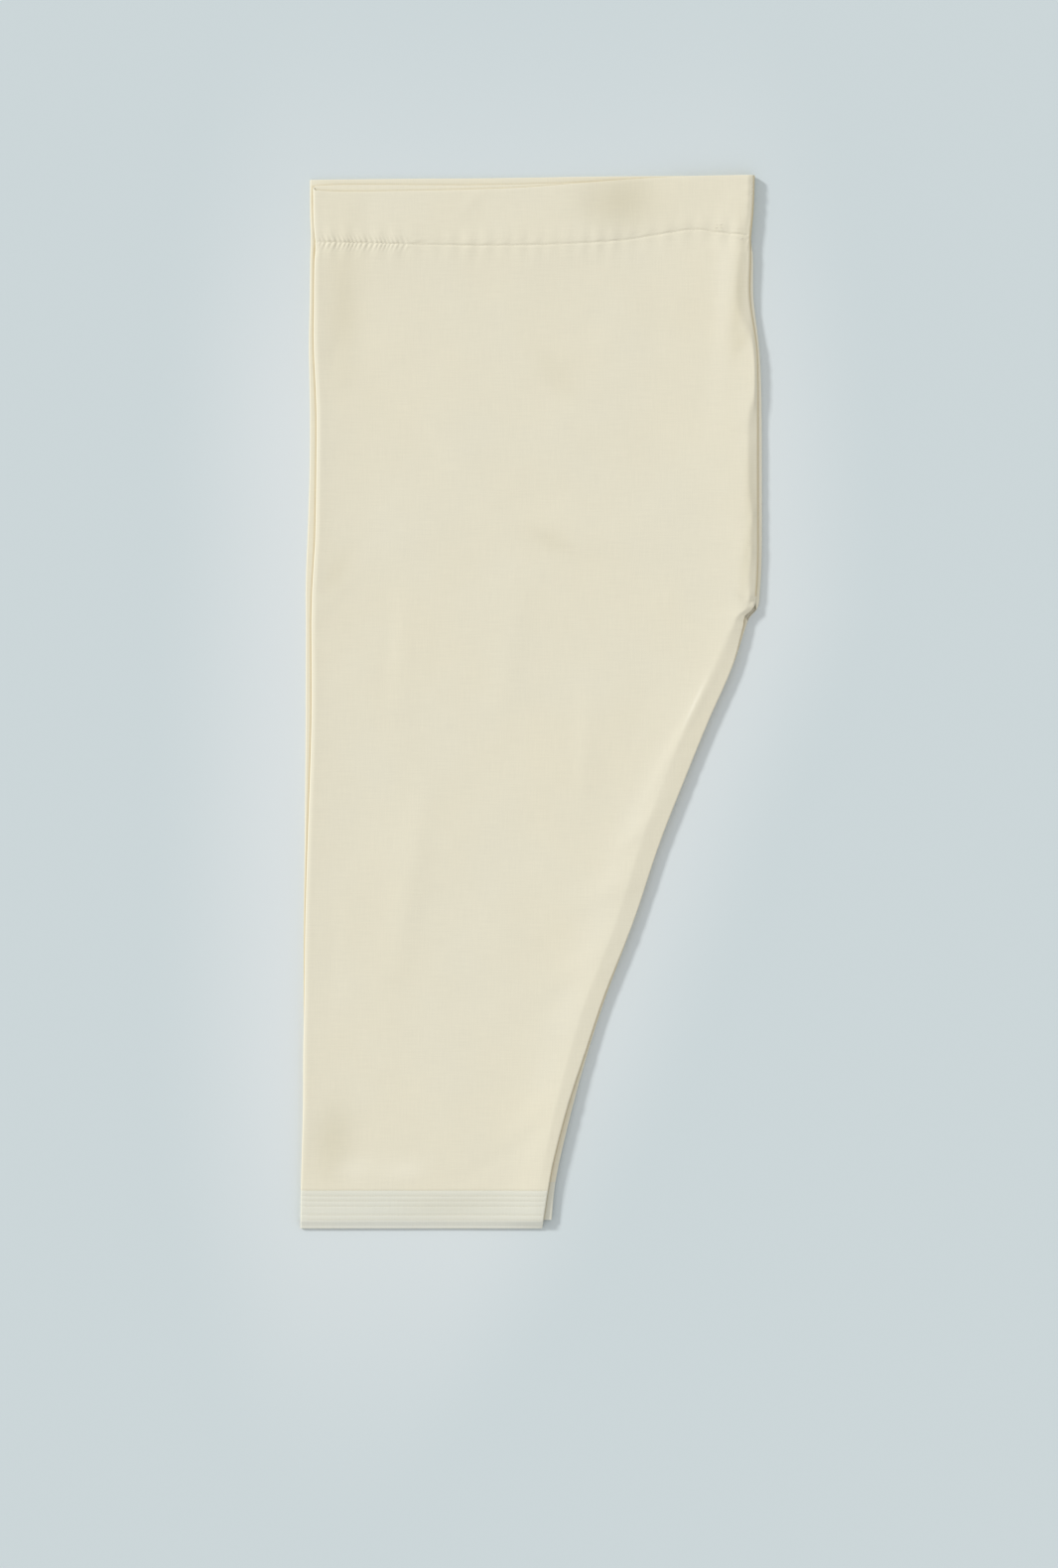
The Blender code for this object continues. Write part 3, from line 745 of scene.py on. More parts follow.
def cloth_marks(leg, x, down, fold_column):
    """The painted shade and light marks of each point, as Grid describes them."""
    side, seam = edges(UPPER, down)
    across = np.clip((x - side) / (seam - side), 0.0, 1.0)
    if leg is UPPER:
        # Painted shade along the upper leg's own seam edge, above the crotch
        inside_edge = seam - x + FAR * ease((down - CROTCH_START) / (CROTCH_END - CROTCH_START))
        # Painted shade on the inner half, beside the waist edge of the outer half that covers it
        outside_cover = table_value(WAIST, UPPER.outer_top, across) - down
        # Patches of painted shade and painted light
        tone = folds_height(PAINTED_PATCHES, x, down)
    else:
        inside_edge = np.full(x.shape, FAR)
        # Painted shade on the under leg just outside the upper leg's waist edge, side fold and seam edge
        above_cover = table_value(WAIST, UPPER.inner_top, across) - down
        outside_cover = np.maximum(above_cover, np.maximum(side - x, x - seam))
        # Painted light: the under leg's strip outside the upper leg's seam edge, in that edge's shade, is made
        # paler above the crotch
        tone = -ease((x - seam) / PAINTED_LIGHT_RIM) * ease((CROTCH_START - down) / PITCH_FADE)
    inner = np.arange(x.shape[1]) > fold_column
    return np.stack([inside_edge, np.where(inner, outside_cover, FAR), tone], axis=2)


def flat_places(points, down, fold_column):
    """Each point's place on the flat cloth: the way along the cloth from the side fold, and down."""
    steps = np.linalg.norm(np.diff(points[:, :, (0, 2)], axis=1), axis=2)
    along = np.hstack([np.zeros((len(points), 1)), np.cumsum(steps, axis=1)])
    return np.stack([along - along[:, fold_column : fold_column + 1], down], axis=2)


def outward_normals(points, outward):
    """Unit normals of a grid of points, pointing out of the leg, and -1 where that flips the grid's own."""
    normals = np.cross(np.gradient(points, axis=1), np.gradient(points, axis=0))
    flip = float(np.sign(normals[-2, END_STEPS + 2, 2])) * outward
    return flip * normals / np.linalg.norm(normals, axis=2, keepdims=True), flip


def stitching_line(leg, layer):
    """The casing's line of stitching on one layer, as a function of across."""
    if layer == OUTER_UPPER:
        return lambda across: table_value(WAIST, "stitching", across)
    top = leg.outer_top if layer == leg.outer else leg.inner_top
    return lambda across: table_value(WAIST, top, across) + CASING_DEPTH


def top_shares(leg):
    return close_shares() if leg is UPPER else even_shares(UNDER_COLUMNS)


def graded(length, finest, widest):
    """Places from 0 to a length, close together at 0 and further apart past it."""
    steps = [finest]
    while sum(steps) < length:
        steps.append(min(widest, steps[-1] * ROW_GROWTH))
    return np.concatenate([[0.0], np.cumsum(steps)]) * length / sum(steps)


def leg_stations(leg):
    """The rows of a leg, close together at the casing, at the crotch and at the cuff."""
    top = CASING_DEPTH + THREAD_GAP / 2
    bottom = leg.hem - CUFF_DEPTH - THREAD_GAP / 2
    row_step = ROW_STEP if leg is UPPER else UNDER_ROW_STEP
    crotch = (CROTCH_START - CROTCH_MARGIN, CROTCH_END + CROTCH_MARGIN)
    above = top + graded(crotch[0] - top, SEAM_ROW_STEP, row_step)
    below = bottom - graded(bottom - crotch[1], SEAM_ROW_STEP, row_step)[::-1]
    between = np.linspace(*crotch, round((crotch[1] - crotch[0]) / CROTCH_STEP), endpoint=False)
    return np.concatenate([above[:-1], between, below])


def leg_grid(leg):
    """The cloth of a leg, from the casing's lower edge down to the cuff's top."""
    stations = leg_stations(leg)

    def downs(layer):
        stitching = stitching_line(leg, layer)
        keep = (1.0 - ease((stations - CASING_DEPTH) / PITCH_FADE))[:, None]
        return lambda across: stations[:, None] + (stitching(across) - CASING_DEPTH) * keep

    return wrap(
        leg, LEG_WALL, stations, downs(leg.outer), downs(leg.inner), top_shares(leg), even_shares(PLAIN_COLUMNS)
    )


def casing_grid(leg):
    """The middle of the waist casing's two plies, from the waist edge down to its lower edge."""
    shares = 1.0 - graded(1.0, SEAM_ROW_STEP / CASING_DEPTH, CASING_ROW_STEP / CASING_DEPTH)[::-1]

    def downs(layer, top):
        low = stitching_line(leg, layer)
        return lambda across: mix(
            table_value(WAIST, top, across), low(across) - THREAD_GAP / 2, shares[:, None]
        )

    return wrap(
        leg,
        CASING_WALL,
        shares * CASING_DEPTH,
        downs(leg.outer, leg.outer_top),
        downs(leg.inner, leg.inner_top),
        top_shares(leg),
        even_shares(PLAIN_COLUMNS),
    )


def level_with_leg(grid, leg):
    """The casing's grid, sunk beside its lower edge until its face is level with the leg's."""
    normals = outward_normals(grid.points, leg.outward)[0]
    to_edge = (grid.flat[-1, :, 1] - grid.flat[:, :, 1])[:, :, None]
    facing_up = normals[:, :, 2:3].clip(0.0, 1.0)
    step = mix(CASING_STEP_DOWN, CASING_STEP_UP, facing_up) * np.exp(-((to_edge / CASING_STEP_REACH) ** 2))
    return grid._replace(points=grid.points - normals * step)


def cuff_grid(leg):
    """The middle of the hem cuff's two plies, from the hem up to its top."""
    stations = np.linspace(leg.hem, leg.hem - CUFF_DEPTH + THREAD_GAP / 2, CUFF_ROWS + 1)

    def downs(across):
        return np.broadcast_to(stations[:, None], across.shape)

    return wrap(leg, CUFF_WALL, stations, downs, downs, even_shares(CUFF_COLUMNS), even_shares(PLAIN_COLUMNS))


def turned_cloth(grid, leg, half_gap):
    """Cloth turned in at its free edge, the grid's first row: a facing, the turn and the outer ply."""
    normals = outward_normals(grid.points, leg.outward)[0]
    free_edge = grid.points[0] - grid.points[1]
    free_edge = free_edge / np.linalg.norm(free_edge, axis=1, keepdims=True)
    outer = grid.points + normals * half_gap
    rows = np.linspace(len(grid.points) - 2, 0, FACING_ROWS).round().astype(int)
    facing = (grid.points - normals * half_gap)[rows]
    turns = [
        grid.points[0] + half_gap * (math.sin(turn) * free_edge - math.cos(turn) * normals[0])
        for turn in np.linspace(0.0, math.pi, TURN_STEPS + 1)[1:-1]
    ]
    flat, marks = [
        np.concatenate([values[rows], [values[0]] * len(turns), values]) for values in (grid.flat, grid.marks)
    ]
    return Grid(np.concatenate([facing, turns, outer]), flat, marks)


def new_cloth(name, grid, leg, thickness, lift):
    """A named piece of cloth through a grid, with its thickness and its flat places as a UV map.

    lift is the share of the thickness that lies outwards: 0 puts the grid in its middle, 1 on its inside."""
    row_count, column_count = grid.points.shape[:2]
    bpy.ops.object.select_all(action="DESELECT")
    bpy.ops.mesh.primitive_grid_add(
        x_subdivisions=column_count - 1, y_subdivisions=row_count - 1, calc_uvs=True
    )
    cloth = bpy.context.object
    cloth.name = cloth.data.name = name
    mesh = cloth.data
    mesh.vertices.foreach_set("co", grid.points.reshape(-1).astype(np.float32))
    corners = np.zeros(len(mesh.loops), np.int32)
    mesh.loops.foreach_get("vertex_index", corners)
    places = grid.flat.reshape(-1, 2)[corners]
    mesh.uv_layers.active.data.foreach_set("uv", places.reshape(-1).astype(np.float32))
    mesh.uv_layers.active.name = "flat_cloth"
    marks = mesh.attributes.new("cloth_marks", "FLOAT_VECTOR", "POINT")
    marks.data.foreach_set("vector", grid.marks.reshape(-1).astype(np.float32))
    if outward_normals(grid.points, leg.outward)[1] < 0:
        mesh.flip_normals()
    mesh.update()
    solid = cloth.modifiers.new("Cloth thickness", "SOLIDIFY")
    solid.thickness = thickness
    solid.offset = lift
    solid.use_even_offset = True
    solid.use_quality_normals = True
    bpy.ops.object.modifier_apply(modifier=solid.name)
    bpy.ops.object.shade_smooth_by_angle(angle=math.radians(SMOOTH_ANGLE))
    return cloth


def declare(cloth, node):
    """Ties a piece of cloth to the frame and hides the part of the model that it stands for."""
    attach(cloth, "root")
    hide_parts(node)


def feed(node, values):
    """Fills a node's inputs, by name or number, each with a plain value or from a socket."""
    for place, value in values.items():
        if isinstance(value, bpy.types.NodeSocket):
            node.id_data.links.new(value, node.inputs[place])
        else:
            node.inputs[place].default_value = value
    return node


def new_node(tree, kind, values=(), **settings):
    """A shader node with its own settings and with its inputs fed."""
    node = tree.nodes.new(kind)
    for name, value in settings.items():
        setattr(node, name, value)
    return feed(node, dict(values))


def math_node(tree, operation, *values):
    """A Math node's result, from sockets or plain numbers."""
    return new_node(tree, "ShaderNodeMath", dict(enumerate(values)), operation=operation).outputs[0]


def mapped(tree, value, start, end, low, high, **settings):
    """A value's place between start and end, carried over to one between low and high."""
    values = {"Value": value, 1: start, 2: end, 3: low, 4: high}
    return new_node(tree, "ShaderNodeMapRange", values, clamp=True, **settings).outputs["Result"]


def shared(collection, name, make):
    """The named block of a data collection, made where it isn't there yet."""
    return collection.get(name) or make(name)


def node_group(name, inputs, outputs):
    """A new node group with typed inputs and float outputs, its inputs' sockets and its end node."""
    tree = bpy.data.node_groups.new(name, "ShaderNodeTree")
    for socket, kind in inputs.items():
        tree.interface.new_socket(socket, in_out="INPUT", socket_type="NodeSocket" + kind)
    for socket in outputs:
        tree.interface.new_socket(socket, in_out="OUTPUT", socket_type="NodeSocketFloat")
    return tree, tree.nodes.new("NodeGroupInput").outputs, tree.nodes.new("NodeGroupOutput")


def plain_weave_group(name):
    """Node group: height and shade of a plain weave, over flat cloth measured in metres."""
    inputs = {"Flat cloth": "Vector", "Threads per metre": "Float"}
    tree, inside, outside = node_group(name, inputs, ("Height", "Shade"))
    scaled = {0: inside["Flat cloth"], "Scale": inside["Threads per metre"]}
    place = new_node(tree, "ShaderNodeVectorMath", scaled, operation="SCALE")
    split = new_node(tree, "ShaderNodeSeparateXYZ", {0: place.outputs[0]}).outputs
    warp, weft = (math_node(tree, "SINE", math_node(tree, "MULTIPLY", split[i], math.pi)) for i in (0, 1))
    crossing = math_node(tree, "MULTIPLY_ADD", math_node(tree, "MULTIPLY", warp, weft), 0.5, 0.5)
    over = math_node(tree, "MULTIPLY", math_node(tree, "ABSOLUTE", warp), crossing)
    rest = math_node(tree, "SUBTRACT", 1.0, crossing)
    under = math_node(tree, "MULTIPLY", math_node(tree, "ABSOLUTE", weft), rest)
    slubs = []
    for stretch in SLUB_STRETCHES:
        stretched = {0: inside["Flat cloth"], 1: stretch}
        place = new_node(tree, "ShaderNodeVectorMath", stretched, operation="MULTIPLY").outputs[0]
        values = {"Vector": place, "Scale": 1.0, "Detail": SLUB_DETAIL}
        slubs.append(new_node(tree, "ShaderNodeTexNoise", values, noise_dimensions="2D").outputs["Fac"])
    threads = math_node(tree, "ADD", *slubs)
    height = math_node(tree, "ADD", math_node(tree, "ADD", over, under), threads)
    feed(outside, {"Height": height, "Shade": math_node(tree, "MULTIPLY", threads, 0.5)})
    return tree


def fold_shade_group(name):
    """Node group: painted shade, from how deep in a fold a point of the cloth is by its marks, and its patches
    of painted shade and light.
    """
    inputs = {"Cloth marks": "Vector", "Width": "Float"}
    tree, inside, outside = node_group(name, inputs, ("Shade", "Tone"))
    split = new_node(tree, "ShaderNodeSeparateXYZ", {0: inside["Cloth marks"]})
    lines = []
    for distance in split.outputs[0:2]:
        widths = math_node(tree, "DIVIDE", math_node(tree, "MAXIMUM", distance, 0.0), inside["Width"])
        squared = math_node(tree, "MULTIPLY", widths, widths)
        lines.append(math_node(tree, "EXPONENT", math_node(tree, "MULTIPLY", squared, -1.0)))
    feed(outside, {"Shade": math_node(tree, "MAXIMUM", *lines), "Tone": split.outputs[2]})
    return tree


def tinted(tree, colour, factor, tint):
    """A colour socket that goes towards its multiple by tint as the factor socket goes to 1."""
    settings = {"data_type": "RGBA", "blend_type": "MULTIPLY", "clamp_factor": False}
    values = {"Factor": factor, "A": colour, "B": (*tint, 1.0)}
    return new_node(tree, "ShaderNodeMix", values, **settings).outputs["Result"]


def between_colours(tree, factor, first, second):
    """A colour socket between two plain colours."""
    values = {"Factor": factor, "A": (*first, 1.0), "B": (*second, 1.0)}
    return new_node(tree, "ShaderNodeMix", values, data_type="RGBA").outputs["Result"]


def new_material(name):
    """A new material, its node tree and its shader."""
    material = bpy.data.materials.new(name)
    material.use_nodes = True
    return material, material.node_tree, material.node_tree.nodes["Principled BSDF"]


def cotton_material(name, colour, look):
    """Woven cotton: its weave in the bump, uneven threads and faint patches of its own tone, with painted shade
    in its folds and painted shade and light in patches, in the colour.
    """
    material, tree, shader = new_material(name)
    flat = new_node(tree, "ShaderNodeUVMap", uv_map="flat_cloth").outputs["UV"]
    weave_group = shared(bpy.data.node_groups, "Plain weave", plain_weave_group)
    values = {"Flat cloth": flat, "Threads per metre": look.threads_per_metre}
    weave = new_node(tree, "ShaderNodeGroup", values, node_tree=weave_group).outputs
    place = new_node(tree, "ShaderNodeTexCoord").outputs["Object"]
    values = {"Scale": PATCH_SCALE, "Detail": PATCH_DETAIL, "Vector": place}
    patches = new_node(tree, "ShaderNodeTexNoise", values).outputs["Fac"]
    paler, warmer = ([min(1.0, c * k) for c, k in zip(colour, tint)] for tint in (PALER, WARMER))
    marks = new_node(tree, "ShaderNodeAttribute", attribute_name="cloth_marks").outputs["Vector"]
    fold_group = shared(bpy.data.node_groups, "Fold shade", fold_shade_group)
    values = {"Width": FOLD_SHADE_WIDTH, "Cloth marks": marks}
    folds = new_node(tree, "ShaderNodeGroup", values, node_tree=fold_group).outputs
    # Painted shade in the folds, then painted shade and painted light in patches
    in_folds = tinted(tree, between_colours(tree, patches, paler, warmer), folds["Shade"], FOLD_SHADE_TINT)
    in_patches = tinted(tree, in_folds, folds["Tone"], PATCH_SHADE_TINT)
    shade = mapped(tree, weave["Shade"], *SLUB_RANGE, *SLUB_SHADES)
    threads = new_node(tree, "ShaderNodeVectorMath", {0: in_patches, "Scale": shade}, operation="SCALE")
    spread = (look.roughness - ROUGHNESS_SPREAD, look.roughness + ROUGHNESS_SPREAD)
    values = {"Strength": BUMP_STRENGTH, "Distance": look.weave_height, "Height": weave["Height"]}
    feed(shader, {
        "Base Color": threads.outputs[0],
        "Roughness": mapped(tree, weave["Shade"], *SLUB_RANGE, *spread),
        "Normal": new_node(tree, "ShaderNodeBump", values).outputs["Normal"],
        "Sheen Weight": look.sheen,
        "Sheen Roughness": SHEEN_ROUGHNESS,
        "Specular IOR Level": COTTON_SPECULAR,
    })
    return material


def thread_material(name):
    """Twisted sewing thread."""
    material, tree, shader = new_material(name)
    colour = bpy.context.scene.shalwar_cloth.thread_colour
    place = new_node(tree, "ShaderNodeTexCoord").outputs["Object"]
    values = {"Scale": TWIST_SCALE, "Distortion": TWIST_DISTORTION, "Vector": place}
    twist = new_node(tree, "ShaderNodeTexWave", values, bands_direction="DIAGONAL").outputs["Fac"]
    feed(shader, {
        "Base Color": between_colours(tree, twist, [c * THREAD_SHADE for c in colour], colour),
        "Roughness": mapped(tree, twist, 0.0, 1.0, *THREAD_ROUGHNESS),
        "Sheen Weight": THREAD_SHEEN,
    })
    return material


def cotton(name, colour_name):
    """The cotton of a name, with the colour that the settings give it."""
    look = bpy.context.scene.shalwar_cloth
    colour = getattr(look, colour_name)
    return shared(bpy.data.materials, name, lambda name: cotton_material(name, colour, look))


def stitch_template(length, width):
    """One stitch along X, modelled from a sphere: a short thread whose two ends dip into the cloth."""
    bpy.ops.object.select_all(action="DESELECT")
    bpy.ops.mesh.primitive_uv_sphere_add(segments=8, ring_count=6, radius=0.5, rotation=(0, math.pi / 2, 0))
    stitch = bpy.context.object
    stitch.scale = (width * STITCH_FLATNESS, width, length)
    bpy.ops.object.transform_apply(location=True, rotation=True, scale=True)
    mesh = stitch.data
    ends = [abs(vertex.co.x) > STITCH_END * length for vertex in mesh.vertices]
    mesh.vertices.foreach_set("select", ends)
    bpy.ops.object.mode_set(mode="EDIT")
    bpy.ops.transform.translate(value=(0.0, 0.0, -STITCH_DIP * width))
    bpy.ops.object.mode_set(mode="OBJECT")
    return stitch


def joined_stitches(name, seats, length, width):
    """One mesh of all the stitches whose seats, each a middle, a direction and a normal, are given."""
    template = stitch_template(length, width)
    count = len(template.data.vertices)
    shape = np.zeros(count * 3, np.float32)
    template.data.vertices.foreach_get("co", shape)
    shape = shape.reshape(-1, 3)
    # A new sphere's faces come in another order each time, so they are sorted to keep each run the same
    faces = sorted(list(face.vertices) for face in template.data.polygons)
    places, all_faces = [], []
    for number, (middle, along, normal) in enumerate(seats):
        along = along / np.linalg.norm(along)
        sideways = np.cross(normal, along)
        sideways = sideways / np.linalg.norm(sideways)
        turned = shape @ np.stack([along, sideways, np.cross(along, sideways)])
        places.append(turned + middle)
        all_faces += [[corner + number * count for corner in face] for face in faces]
    bpy.data.objects.remove(template)
    mesh = bpy.data.meshes.new(name)
    mesh.from_pydata(np.concatenate(places).tolist(), [], all_faces)
    mesh.shade_smooth()
    stitches = bpy.data.objects.new(name, mesh)
    bpy.context.scene.collection.objects.link(stitches)
    mesh.materials.append(shared(bpy.data.materials, "sewing_thread", thread_material))
    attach(stitches, "root")
    return stitches


def seats_along(line, normals, pitch, margin):
    """Seats of a row of stitches along a line of points, a pitch apart."""
    steps = np.linalg.norm(np.diff(line, axis=0), axis=1)
    places = np.concatenate([[0.0], np.cumsum(steps)])
    middles = np.arange(margin, places[-1] - margin, pitch)

    def at(values, where):
        return np.stack([np.interp(where, places, values[:, i]) for i in range(3)], axis=1)

    middle_points, normal_points = at(line, middles), at(normals, middles)
    along = at(line, middles + pitch * STITCH_AIM) - at(line, middles - pitch * STITCH_AIM)
    normal_points = normal_points / np.linalg.norm(normal_points, axis=1, keepdims=True)
    return list(zip(middle_points, along, normal_points))


def single_seats(stitches, wall, lift):
    """Seats of stitches that stand alone on the upper leg, each raised off its cloth."""
    seats = []
    for stitch in stitches:
        x = stitch.x - MIDDLE + np.array([-SLOPE_STEP, 0.0, SLOPE_STEP])
        side, seam = edges(UPPER, stitch.down)
        down = np.full(3, stitch.down)
        z = layer_height(OUTER_UPPER, wall, x, (x - side) / (seam - side), down, seam - x, x - side)
        slope = (z[2] - z[0]) / (2 * SLOPE_STEP)
        turn = math.radians(stitch.turn_deg)
        along = np.array([math.cos(turn), math.sin(turn), slope * math.cos(turn)])
        normal = np.array([-slope, 0.0, 1.0]) / math.hypot(slope, 1.0)
        seats.append((np.array([x[1], WAIST_Y - stitch.down, z[1]]) + normal * lift, along, normal))
    return seats


def outer_half(leg, grid, row, lift):
    """The outer half of one row of a grid, raised off it, and its normals."""
    columns = slice(END_STEPS, len(grid.points[0]) - END_STEPS - FOLD_STEPS - PLAIN_COLUMNS)
    normals = outward_normals(grid.points, leg.outward)[0][row, columns]
    return grid.points[row, columns] + normals * lift, normals


def number(name, description, least, most, default, **more):
    """A plain setting."""
    return bpy.props.FloatProperty(
        name=name, description=description, min=least, max=most, default=default, **more
    )


def length_of(name, description, least, most, default):
    """A small length among the settings."""
    return number(name, description, least, most, default, unit="LENGTH", precision=5)


def angle_of(name, description, least, most, degrees):
    """An angle among the settings."""
    return number(name, description, least, most, math.radians(degrees), unit="ROTATION")


def colour_of(name, description, default):
    """A colour among the settings."""
    return bpy.props.FloatVectorProperty(
        name=name, description=description, subtype="COLOR", size=3, min=0.0, max=1.0, default=default
    )


class ShalwarClothSettings(bpy.types.PropertyGroup):
    """Cloth and thread."""

    cotton_colour: colour_of("Cotton", "Colour of the legs and the casing", (0.770, 0.727, 0.582))
    cuff_colour: colour_of("Cuff cotton", "Colour of the stiffened cuffs", (0.718, 0.712, 0.615))
    thread_colour: colour_of("Thread", "Colour of the sewing thread", (0.820, 0.785, 0.655))
    roughness: number("Roughness", "How matt the cotton is", 0.3, 1.0, 0.82)
    sheen: number("Sheen", "Soft gloss of the cotton's fibres", 0.0, 1.0, 0.12)
    threads_per_metre: number("Threads per metre", "Count of the plain weave", 500.0, 4000.0, 1900.0)
    weave_height: length_of("Weave height", "Height of the threads", 0.0, 0.001, 0.00012)
    thickness: length_of("Cloth thickness", "Thickness of one ply", 0.0002, 0.001, 0.00055)


class ShalwarStitchSettings(bpy.types.PropertyGroup):
    """Sizes of the stitching."""

    casing_pitch: length_of("Casing pitch", "From one casing stitch to the next", 0.001, 0.01, 0.0034)
    cuff_pitch: length_of("Cuff pitch", "From one cuff stitch to the next", 0.001, 0.01, 0.0029)
    thread_width: length_of("Thread width", "Width of the sewing thread", 0.0002, 0.001, 0.00042)


class ShalwarStageSettings(bpy.types.PropertyGroup):
    """Surface, light and camera."""

    floor_colour: colour_of("Floor", "Colour of the surface", (0.600, 0.672, 0.690))
    # Painted light: the surface's colour in the pool of light around the garment
    painted_glow_colour: colour_of("Floor glow", "Colour of the surface around the garment", (0.705, 0.750, 0.760))
    fill_strength: number("Fill", "Strength of the light from all round", 0.0, 5.0, 0.71)
    key_strength: number("Key", "Strength of the key light", 0.0, 20.0, 2.02)
    key_softness: angle_of("Key softness", "Angle that the key light fills", 0.0, 1.5, 7.5)
    key_elevation: angle_of("Key elevation", "Height of the key light as an angle", 0.1, 1.57, 27.0)
    key_bearing: angle_of(
        "Key bearing", "Turn of the key light from the side folds towards the waist", -3.14, 3.14, 33.0
    )
    lens: number("Lens", "Focal length in millimetres", 20.0, 300.0, 120.0)


class SHALWAR_OT_legs(bpy.types.Operator):
    """Add the two legs, each one panel of cloth folded at its side."""

    bl_idname = "shalwar.legs"
    bl_label = "Legs"

    def execute(self, context):
        look, sewing = context.scene.shalwar_cloth, context.scene.shalwar_stitches
        lift = (LEG_WALL - look.thickness) / look.thickness
        for side, leg in LEGS.items():
            grid = leg_grid(leg)
            cloth = new_cloth(f"{side}_leg_cloth", grid, leg, look.thickness, lift)
            cloth.data.materials.append(cotton("plain_cotton", "cotton_colour"))
            if leg is UPPER:
                raised = LEG_WALL / 2 + sewing.thread_width * STITCH_RAISE
                seats = single_seats(LEG_STITCHES, LEG_WALL, raised)
                sizes = (sewing.casing_pitch, sewing.thread_width)
                sewn_on = [joined_stitches(f"{side}_leg_stitches", seats, *sizes)]
            declare(cloth, f"{side}_leg")
        return {"FINISHED"}


class SHALWAR_OT_casings(bpy.types.Operator):
    """Add the two halves of the waist casing, turned in at the waist and stitched."""

    bl_idname = "shalwar.casings"
    bl_label = "Waist casing"

    def execute(self, context):
        look, sewing = context.scene.shalwar_cloth, context.scene.shalwar_stitches
        for side, leg in LEGS.items():
            middle = level_with_leg(casing_grid(leg), leg)
            grid = turned_cloth(middle, leg, CASING_HALF_GAP)
            cloth = new_cloth(f"{side}_casing_cloth", grid, leg, look.thickness, 0.0)
            cloth.data.materials.append(cotton("plain_cotton", "cotton_colour"))
            lift = CASING_HALF_GAP + look.thickness / 2 + sewing.thread_width * STITCH_RAISE
            line, normals = outer_half(leg, middle, -1, lift)
            seats = seats_along(line, normals, sewing.casing_pitch, LINE_MARGIN)
            if leg is UPPER:
                seats += single_seats(CASING_STITCHES, CASING_WALL, lift)
            length = sewing.casing_pitch * STITCH_SHARE
            stitches = joined_stitches(f"{side}_casing_stitches", seats, length, sewing.thread_width)
            declare(cloth, f"{side}_waist_casing")
        return {"FINISHED"}


class SHALWAR_OT_cuffs(bpy.types.Operator):
    """Add the two hem cuffs, turned in at the hem, with their rows of stitching."""

    bl_idname = "shalwar.cuffs"
    bl_label = "Hem cuffs"

    def execute(self, context):
        look, sewing = context.scene.shalwar_cloth, context.scene.shalwar_stitches
        for side, leg in LEGS.items():
            middle = cuff_grid(leg)
            grid = turned_cloth(middle, leg, CUFF_HALF_GAP)
            ply = look.thickness * CUFF_PLY_SHARE
            cloth = new_cloth(f"{side}_cuff_cloth", grid, leg, ply, 0.0)
            cloth.data.materials.append(cotton("stiffened_cotton", "cuff_colour"))
            seats = []
            for line_down in CUFF_LINES:
                from_top = middle.flat[:, 0, 1] - (leg.hem - CUFF_DEPTH)
                row = int(np.argmin(np.abs(from_top - line_down)))
                lift = CUFF_HALF_GAP + ply / 2 + sewing.thread_width * STITCH_RAISE
                line, normals = outer_half(leg, middle, row, lift)
                seats += seats_along(line, normals, sewing.cuff_pitch, LINE_MARGIN)
            length = sewing.cuff_pitch * STITCH_SHARE
            width = sewing.thread_width * CUFF_THREAD_SHARE
            stitches = joined_stitches(f"{side}_cuff_stitches", seats, length, width)
            declare(cloth, f"{side}_hem_cuff")
        return {"FINISHED"}


class SHALWAR_OT_stage(bpy.types.Operator):
    """Add the surface, the soft key light, the light from all round and the camera."""

    bl_idname = "shalwar.stage"
    bl_label = "Stage"

    def execute(self, context):
        scene, look = context.scene, context.scene.shalwar_stage
        bpy.ops.object.select_all(action="DESELECT")
        bpy.ops.mesh.primitive_plane_add(size=FLOOR_SIZE, location=(0.0, 0.0, CAD_BOX[0].z))
        floor = context.object
        floor.name = floor.data.name = "floor"
        floor.data.materials.append(floor_material(look.floor_colour, look.painted_glow_colour))

        world = scene.world or bpy.data.worlds.new("world")
        scene.world = world
        world.use_nodes = True
        background = world.node_tree.nodes["Background"]
        background.inputs["Color"].default_value = (1.0, 1.0, 1.0, 1.0)
        background.inputs["Strength"].default_value = look.fill_strength

        key = bpy.data.objects.new("key_light", bpy.data.lights.new("key_light", "SUN"))
        key.data.angle = look.key_softness
        key.data.energy = look.key_strength
        level = math.cos(look.key_elevation)
        key.location = (
            -level * math.cos(look.key_bearing),
            level * math.sin(look.key_bearing),
            math.sin(look.key_elevation),
        )
        key.rotation_euler = (-key.location).to_track_quat("-Z", "Y").to_euler()
        scene.collection.objects.link(key)

        camera = bpy.data.objects.new("camera", bpy.data.cameras.new("camera"))
        camera.data.lens = look.lens
        camera.data.sensor_width = LONG_SENSOR
        distance = VIEW_HEIGHT * look.lens / LONG_SENSOR
        camera.location = (*VIEW_CENTRE, distance)
        camera.data.clip_end = 100.0
        scene.collection.objects.link(camera)
        scene.camera = camera
        scene.view_settings.view_transform = "Standard"
        return {"FINISHED"}


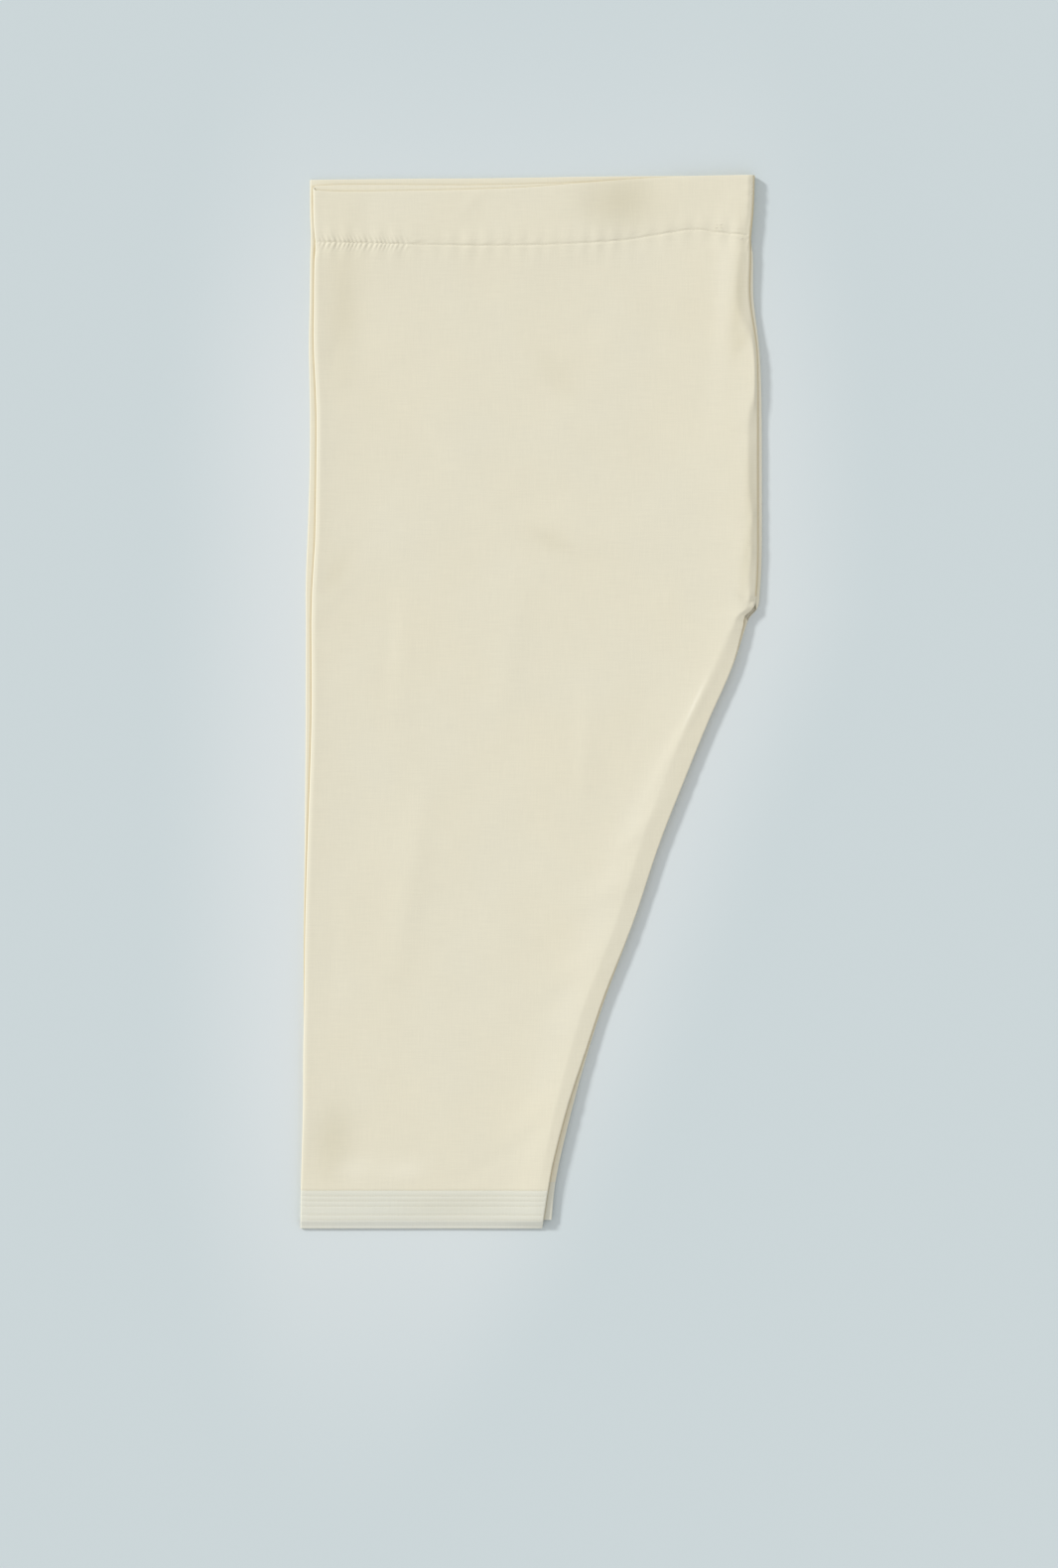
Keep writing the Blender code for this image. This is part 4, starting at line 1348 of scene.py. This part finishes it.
def floor_material(colour, painted_glow_colour):
    """Matt painted surface, with a painted pool of light around the garment and very faint patches."""
    material, tree, shader = new_material("pale_surface")
    place = new_node(tree, "ShaderNodeTexCoord").outputs["Object"]
    noise = {"Scale": FLOOR_PATCH_SCALE, "Vector": place}
    patches = new_node(tree, "ShaderNodeTexNoise", noise).outputs["Fac"]
    x, y, _ = new_node(tree, "ShaderNodeSeparateXYZ", {0: place}).outputs
    below_crotch = math_node(tree, "MAXIMUM", math_node(tree, "SUBTRACT", GLOW_TURN, y), 0.0)
    from_left = math_node(tree, "ADD", x, GLOW_LEFT)
    inseam_side = math_node(tree, "MULTIPLY_ADD", below_crotch, GLOW_LEAN, from_left)
    across = math_node(tree, "MAXIMUM", inseam_side, math_node(tree, "MULTIPLY", x, -1.0))
    along = math_node(tree, "ABSOLUTE", math_node(tree, "ADD", y, GLOW_LOW))
    beyond = {}
    reaches = ((across, GLOW_HALF_WIDTH, 1.0), (along, GLOW_HALF_LENGTH, GLOW_STRETCH))
    for axis, (way, half, share) in enumerate(reaches):
        past = math_node(tree, "MAXIMUM", math_node(tree, "SUBTRACT", way, half), 0.0)
        beyond[axis] = math_node(tree, "MULTIPLY", past, share)
    beyond = new_node(tree, "ShaderNodeCombineXYZ", beyond).outputs[0]
    distance = new_node(tree, "ShaderNodeVectorMath", {0: beyond}, operation="LENGTH").outputs["Value"]
    uneven = math_node(tree, "MULTIPLY_ADD", patches, GLOW_UNEVEN, distance)
    # Painted light: the pool of light fades out with the distance from the garment
    glow = mapped(tree, uneven, *GLOW_FADE, 1.0, 0.0, interpolation_type="SMOOTHSTEP")
    feed(shader, {
        "Base Color": between_colours(tree, glow, colour, painted_glow_colour),
        "Roughness": FLOOR_ROUGHNESS,
        "Specular IOR Level": FLOOR_SPECULAR,
    })
    return material


class SHALWAR_PT_trousers(bpy.types.Panel):
    """The pieces of the trousers, their settings and the stage."""

    bl_label = "Shalwar Trousers"
    bl_idname = "SHALWAR_PT_trousers"
    bl_space_type = "VIEW_3D"
    bl_region_type = "UI"
    bl_category = "Shalwar"

    def draw(self, context):
        layout = self.layout
        for settings, operators in PANEL_ROWS:
            box = layout.box()
            group = getattr(context.scene, settings)
            for name in group.bl_rna.properties.keys():
                if name not in {"rna_type", "name"}:
                    box.prop(group, name)
            for operator in operators:
                box.operator(operator)


PANEL_ROWS = (
    ("shalwar_cloth", ("shalwar.legs",)),
    ("shalwar_stitches", ("shalwar.casings", "shalwar.cuffs")),
    ("shalwar_stage", ("shalwar.stage",)),
)

CLASSES = (
    ShalwarClothSettings,
    ShalwarStitchSettings,
    ShalwarStageSettings,
    SHALWAR_OT_legs,
    SHALWAR_OT_casings,
    SHALWAR_OT_cuffs,
    SHALWAR_OT_stage,
    SHALWAR_PT_trousers,
)


def register():
    for cls in CLASSES:
        bpy.utils.register_class(cls)
    bpy.types.Scene.shalwar_cloth = bpy.props.PointerProperty(type=ShalwarClothSettings)
    bpy.types.Scene.shalwar_stitches = bpy.props.PointerProperty(type=ShalwarStitchSettings)
    bpy.types.Scene.shalwar_stage = bpy.props.PointerProperty(type=ShalwarStageSettings)


def unregister():
    del bpy.types.Scene.shalwar_stage
    del bpy.types.Scene.shalwar_stitches
    del bpy.types.Scene.shalwar_cloth
    for cls in reversed(CLASSES):
        bpy.utils.unregister_class(cls)


def main():
    register()
    bpy.ops.shalwar.legs()
    bpy.ops.shalwar.casings()
    bpy.ops.shalwar.cuffs()
    bpy.ops.shalwar.stage()


if __name__ == "__main__":
    main()
